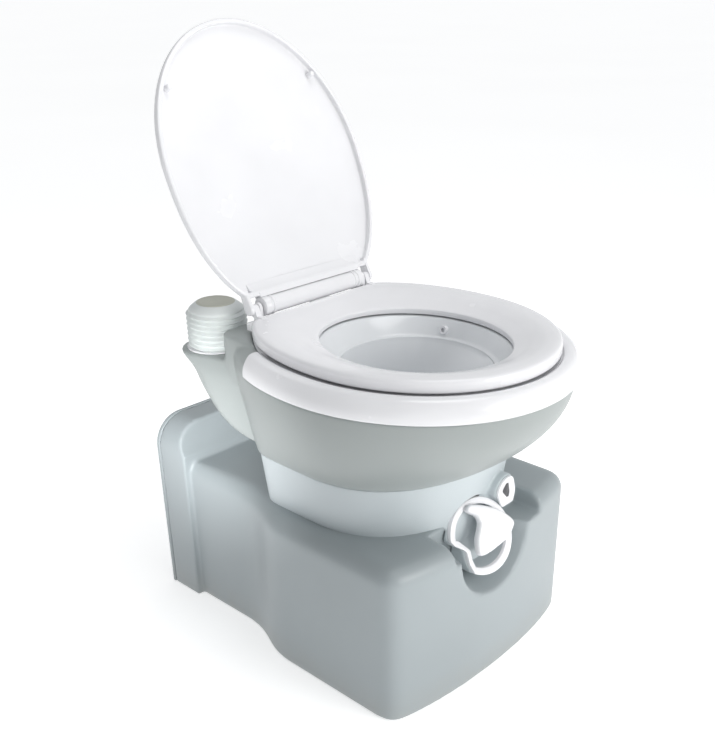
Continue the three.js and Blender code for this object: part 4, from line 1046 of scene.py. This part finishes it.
def hinge_posts():
    """The two posts on the shell that carry the pin, and the pin itself."""
    for side, end in ((-1, "left"), (1, "right")):
        low, high = box(f"hinge_post_{end}")
        outline = [(HINGE.y - 8, low.z + 3), (HINGE.y + 8, low.z + 3)] + hinge_arc(7, 0, 180)
        plate = drawn_across("plate", outline, POST_IN * side, POST_OUT * side)
        foot = rounded([(low.x, low.y), (high.x, low.y), (high.x, high.y), (low.x, high.y)], 3)
        base = upright("foot", foot, low.z, low.z + 5)
        post = softened(joined(plate, base), 0.8, 2, 50)
        finished(post, f"hinge_stand_{end}", "upper_unit", "white_plastic", f"hinge_post_{end}")
    pin = along_x(drum(0, 0, -LUG_IN - LUG_WIDTH, LUG_IN + LUG_WIDTH, 4, count=32))
    finished(pin, "hinge_rod", "upper_unit", "steel", "hinge_pin")


def lid_dish():
    """The lid itself: a rolled lip round a shallow dish, closed by a face on each side."""
    low = LID_BOTTOM
    lip = [(-6.5, low + 7), (-6.3, low + 1.6), (-5, low + 0.2), (-2.5, low), (-0.6, low + 0.9), (0, low + 3),
           (0, low + 7.5), (-1, low + 10), (-5, low + 12.2), (-14, low + 13.8), (-30, low + 15),
           (-60, low + 16.2), (-95, low + 16.8)]
    dish = [(-95, low + 13.6), (-60, low + 12.9), (-34, low + 11.6), (-20, low + 10.4), (-11, low + 9.2),
            (-7.6, low + 8.2)]
    back = SEAT_CUT + 2
    rings = []
    for grow, z in through(lip, 4) + through(dish, 4):
        rings.append(limited(ring(lid_egg(grow), z, 180), back + max(grow, -12) * 0.5, 2.5))
    count = len(rings[0])
    turn_over = len(through(lip, 4))
    points = [p for r in rings for p in r]
    faces = []
    for r in range(len(rings)):
        if r == turn_over - 1:
            continue
        first = r * count
        second = (r + 1) % len(rings) * count
        for i in range(count):
            j = (i + 1) % count
            faces.append((first + i, first + j, second + j, second + i))
    outer_end = (turn_over - 1) * count
    faces.append(tuple(range(outer_end, outer_end + count)))
    faces.append(tuple(reversed(range(outer_end + count, outer_end + 2 * count))))
    return make("panel", points, faces, 50)


def lid_web():
    """The strip that joins the lid to its hinge tube, with a sloping fillet inside the lid."""
    low = LID_BOTTOM
    slope = [(SEAT_CUT - 17, low + 10), (SEAT_CUT - 9, low + 6.5), (SEAT_CUT - 6, low + 3),
             (SEAT_CUT - 3, low + 0.6), (SEAT_CUT + 1, low + 1), (SEAT_CUT + 1, low + 12),
             (SEAT_CUT - 17, low + 12)]
    fillet = drawn_across("fillet", slope, -103, 103, 60)
    return joined(fillet, box_solid(-93.5, 93.5, SEAT_CUT - 3, HINGE.y, low, low + 12.5))


def lid():
    """Drawn closed and swung open about the hinge."""
    clear = along_x(drum(0, 0, -EAR_IN, EAR_IN, BARREL_RADIUS + FIT_GAP, count=64))
    panel = cut(joined(lid_dish(), lid_web(), lid_ear(-1), lid_ear(1)), clear)
    smooth(panel, 50)
    moved(panel, LID_SWING)
    finished(panel, "lid_cover", "lid", "white_plastic", "lid_panel")


def lid_barrel():
    """The tube along the lid's rear edge, with raised bands near its ends."""
    r = BARREL_RADIUS
    half = [(r - 1.4, BARREL_HALF), (r - 0.4, BARREL_HALF - 0.8), (r - 0.4, BARREL_HALF - 7),
            (r, BARREL_HALF - 7.6), (r, BARREL_HALF - 10.4), (r - 0.5, BARREL_HALF - 11),
            (r - 1.3, BARREL_HALF - 11.4), (r - 1.3, BARREL_HALF - 13.6), (r - 0.5, BARREL_HALF - 14),
            (r, BARREL_HALF - 14.6), (r, BARREL_HALF - 17.4), (r - 0.9, BARREL_HALF - 18.2)]
    profile = [(radius, -x) for radius, x in half] + list(reversed(half))
    profile += [(4.3, BARREL_HALF), (4.3, -BARREL_HALF)]
    tube = along_x(turned_ring("tube", 0, 0, profile, 64, 40))
    finished(moved(tube, LID_SWING), "lid_hinge_tube", "lid", "white_plastic", "lid_barrel")


def lid_pads():
    for side, node in ((-0.84, "lid_buffer_left"), (0.84, "lid_buffer_right")):
        x, y = lid_egg(-13)(side)
        low = SEAT_EDGE_TOP + 0.8
        profile = bezier((0.3, low), (3.6, low), (4, low + 1.6), (4, low + 4), steps=8)
        profile += [(4, LID_BOTTOM + 8.5), (0.3, LID_BOTTOM + 8.5)]
        pad = moved(turned("pad", x, y, profile, 32), LID_SWING)
        finished(pad, node.replace("buffer", "pad"), "lid", "white_plastic", node)


# ---- CAD nodes that stay ---------------------------------------------------------------------
def dress_cad_nodes():
    """Every CAD node that still shows gets its slot's material and a small round on its edges."""
    slots = {part["node"]: part["material_slot"] for part in frame["record"]["subparts"]}
    for name, node in frame["nodes"].items():
        if node.hide_render:
            continue
        node.data.materials.clear()
        node.data.materials.append(MATERIALS[slots[name]])
        softened(node, 0.5, 2, 35)


# ---- Floor, light and camera -----------------------------------------------------------------
def floor():
    size = 60000
    ground = skin("floor", [at_height([(-size, -size), (size, -size), (size, size), (-size, size)], z)
                            for z in (-6, -0.1)])
    nodes = Nodes("floor")
    nodes.link(nodes.mix(nodes.spread(nodes.noise(0.6), 0.0, 1.0), (0.90, 0.90, 0.90), (0.93, 0.93, 0.93)),
               nodes.shader.inputs["Base Color"])
    nodes.shader.inputs["Roughness"].default_value = 0.9
    nodes.shader.inputs["Emission Color"].default_value = (1, 1, 1, 1)
    nodes.shader.inputs["Emission Strength"].default_value = 0.5
    ground.data.materials.append(nodes.material)


def area_light(name, place, target, size, energy, colour=(1, 1, 1)):
    light = bpy.data.lights.new(name, "AREA")
    light.shape = "DISK"
    light.size = size
    light.energy = energy
    light.color = colour
    aim(bpy.data.objects.new(name, light), place, target)


def spot_light(name, place, target, cone, energy):
    light = bpy.data.lights.new(name, "SPOT")
    light.spot_size = math.radians(cone)
    light.spot_blend = 0.8
    light.shadow_soft_size = 0.08
    light.energy = energy
    aim(bpy.data.objects.new(name, light), place, target)


def aim(lamp, place, target):
    lamp.location = place
    lamp.rotation_euler = (Vector(target) - Vector(place)).to_track_quat("-Z", "Y").to_euler()
    bpy.context.scene.collection.objects.link(lamp)


def lights():
    world = bpy.data.worlds.new("studio")
    world.use_nodes = True
    back = world.node_tree.nodes["Background"]
    back.inputs["Color"].default_value = (0.97, 0.985, 1.0, 1)
    nodes = world.node_tree.nodes
    links = world.node_tree.links
    way = nodes.new("ShaderNodeTexCoord")
    parts = nodes.new("ShaderNodeSeparateXYZ")
    rising = nodes.new("ShaderNodeMapRange")
    for name, value in (("From Min", -1.0), ("From Max", 1.0), ("To Min", 0.28), ("To Max", 0.76)):
        rising.inputs[name].default_value = value
    links.new(way.outputs["Generated"], parts.inputs["Vector"])
    links.new(parts.outputs["X"], rising.inputs["Value"])
    links.new(rising.outputs["Result"], back.inputs["Strength"])
    bpy.context.scene.world = world
    middle = (0, -0.05, 0.35)
    area_light("key", (0.3, -2.4, 1.0), middle, 1.2, 22, (1.0, 0.99, 0.97))
    area_light("top", (0.1, -0.4, 2.4), middle, 1.2, 11)
    area_light("left", (-1.9, -1.4, 0.8), middle, 1.0, 2, (0.95, 0.98, 1.0))
    spot_light("scoop", (-0.9, -0.6, 0.55), (-0.12, 0.2, 0.27), 17, 75)
    spot_light("recess", (-0.9, -1.5, 0.55), (0.035, -0.235, 0.2), 13, 18)


def camera():
    target = Vector((0, -0.077, 0.250))
    azimuth, elevation, distance = math.radians(-48.28), math.radians(27.09), 1.3635
    way = Vector((math.sin(azimuth) * math.cos(elevation), -math.cos(azimuth) * math.cos(elevation),
                  math.sin(elevation)))
    data = bpy.data.cameras.new("camera")
    data.lens = 47.27
    data.sensor_width = 36
    data.shift_x = -0.0556
    data.shift_y = 0.1346
    eye = bpy.data.objects.new("camera", data)
    eye.location = target + way * distance
    eye.rotation_euler = (-way).to_track_quat("-Z", "Y").to_euler()
    bpy.context.scene.collection.objects.link(eye)
    bpy.context.scene.camera = eye


camera()
lights()
floor()
bpy.context.scene.view_settings.view_transform = "Standard"
holding_tank()
rear_cover()
valve_collar()
valve_bezel()
indicator()
pull_handle()
upper_shell()
rim_band()
bowl()
pump()
coil_spring("pump_spring", "upper_unit", 1.1, 7)
coil_spring("vent_spring", "waste_tank", 0.4, 5)
seat()
seat_pads()
lid()
lid_barrel()
lid_pads()
hinge_posts()
dress_cad_nodes()
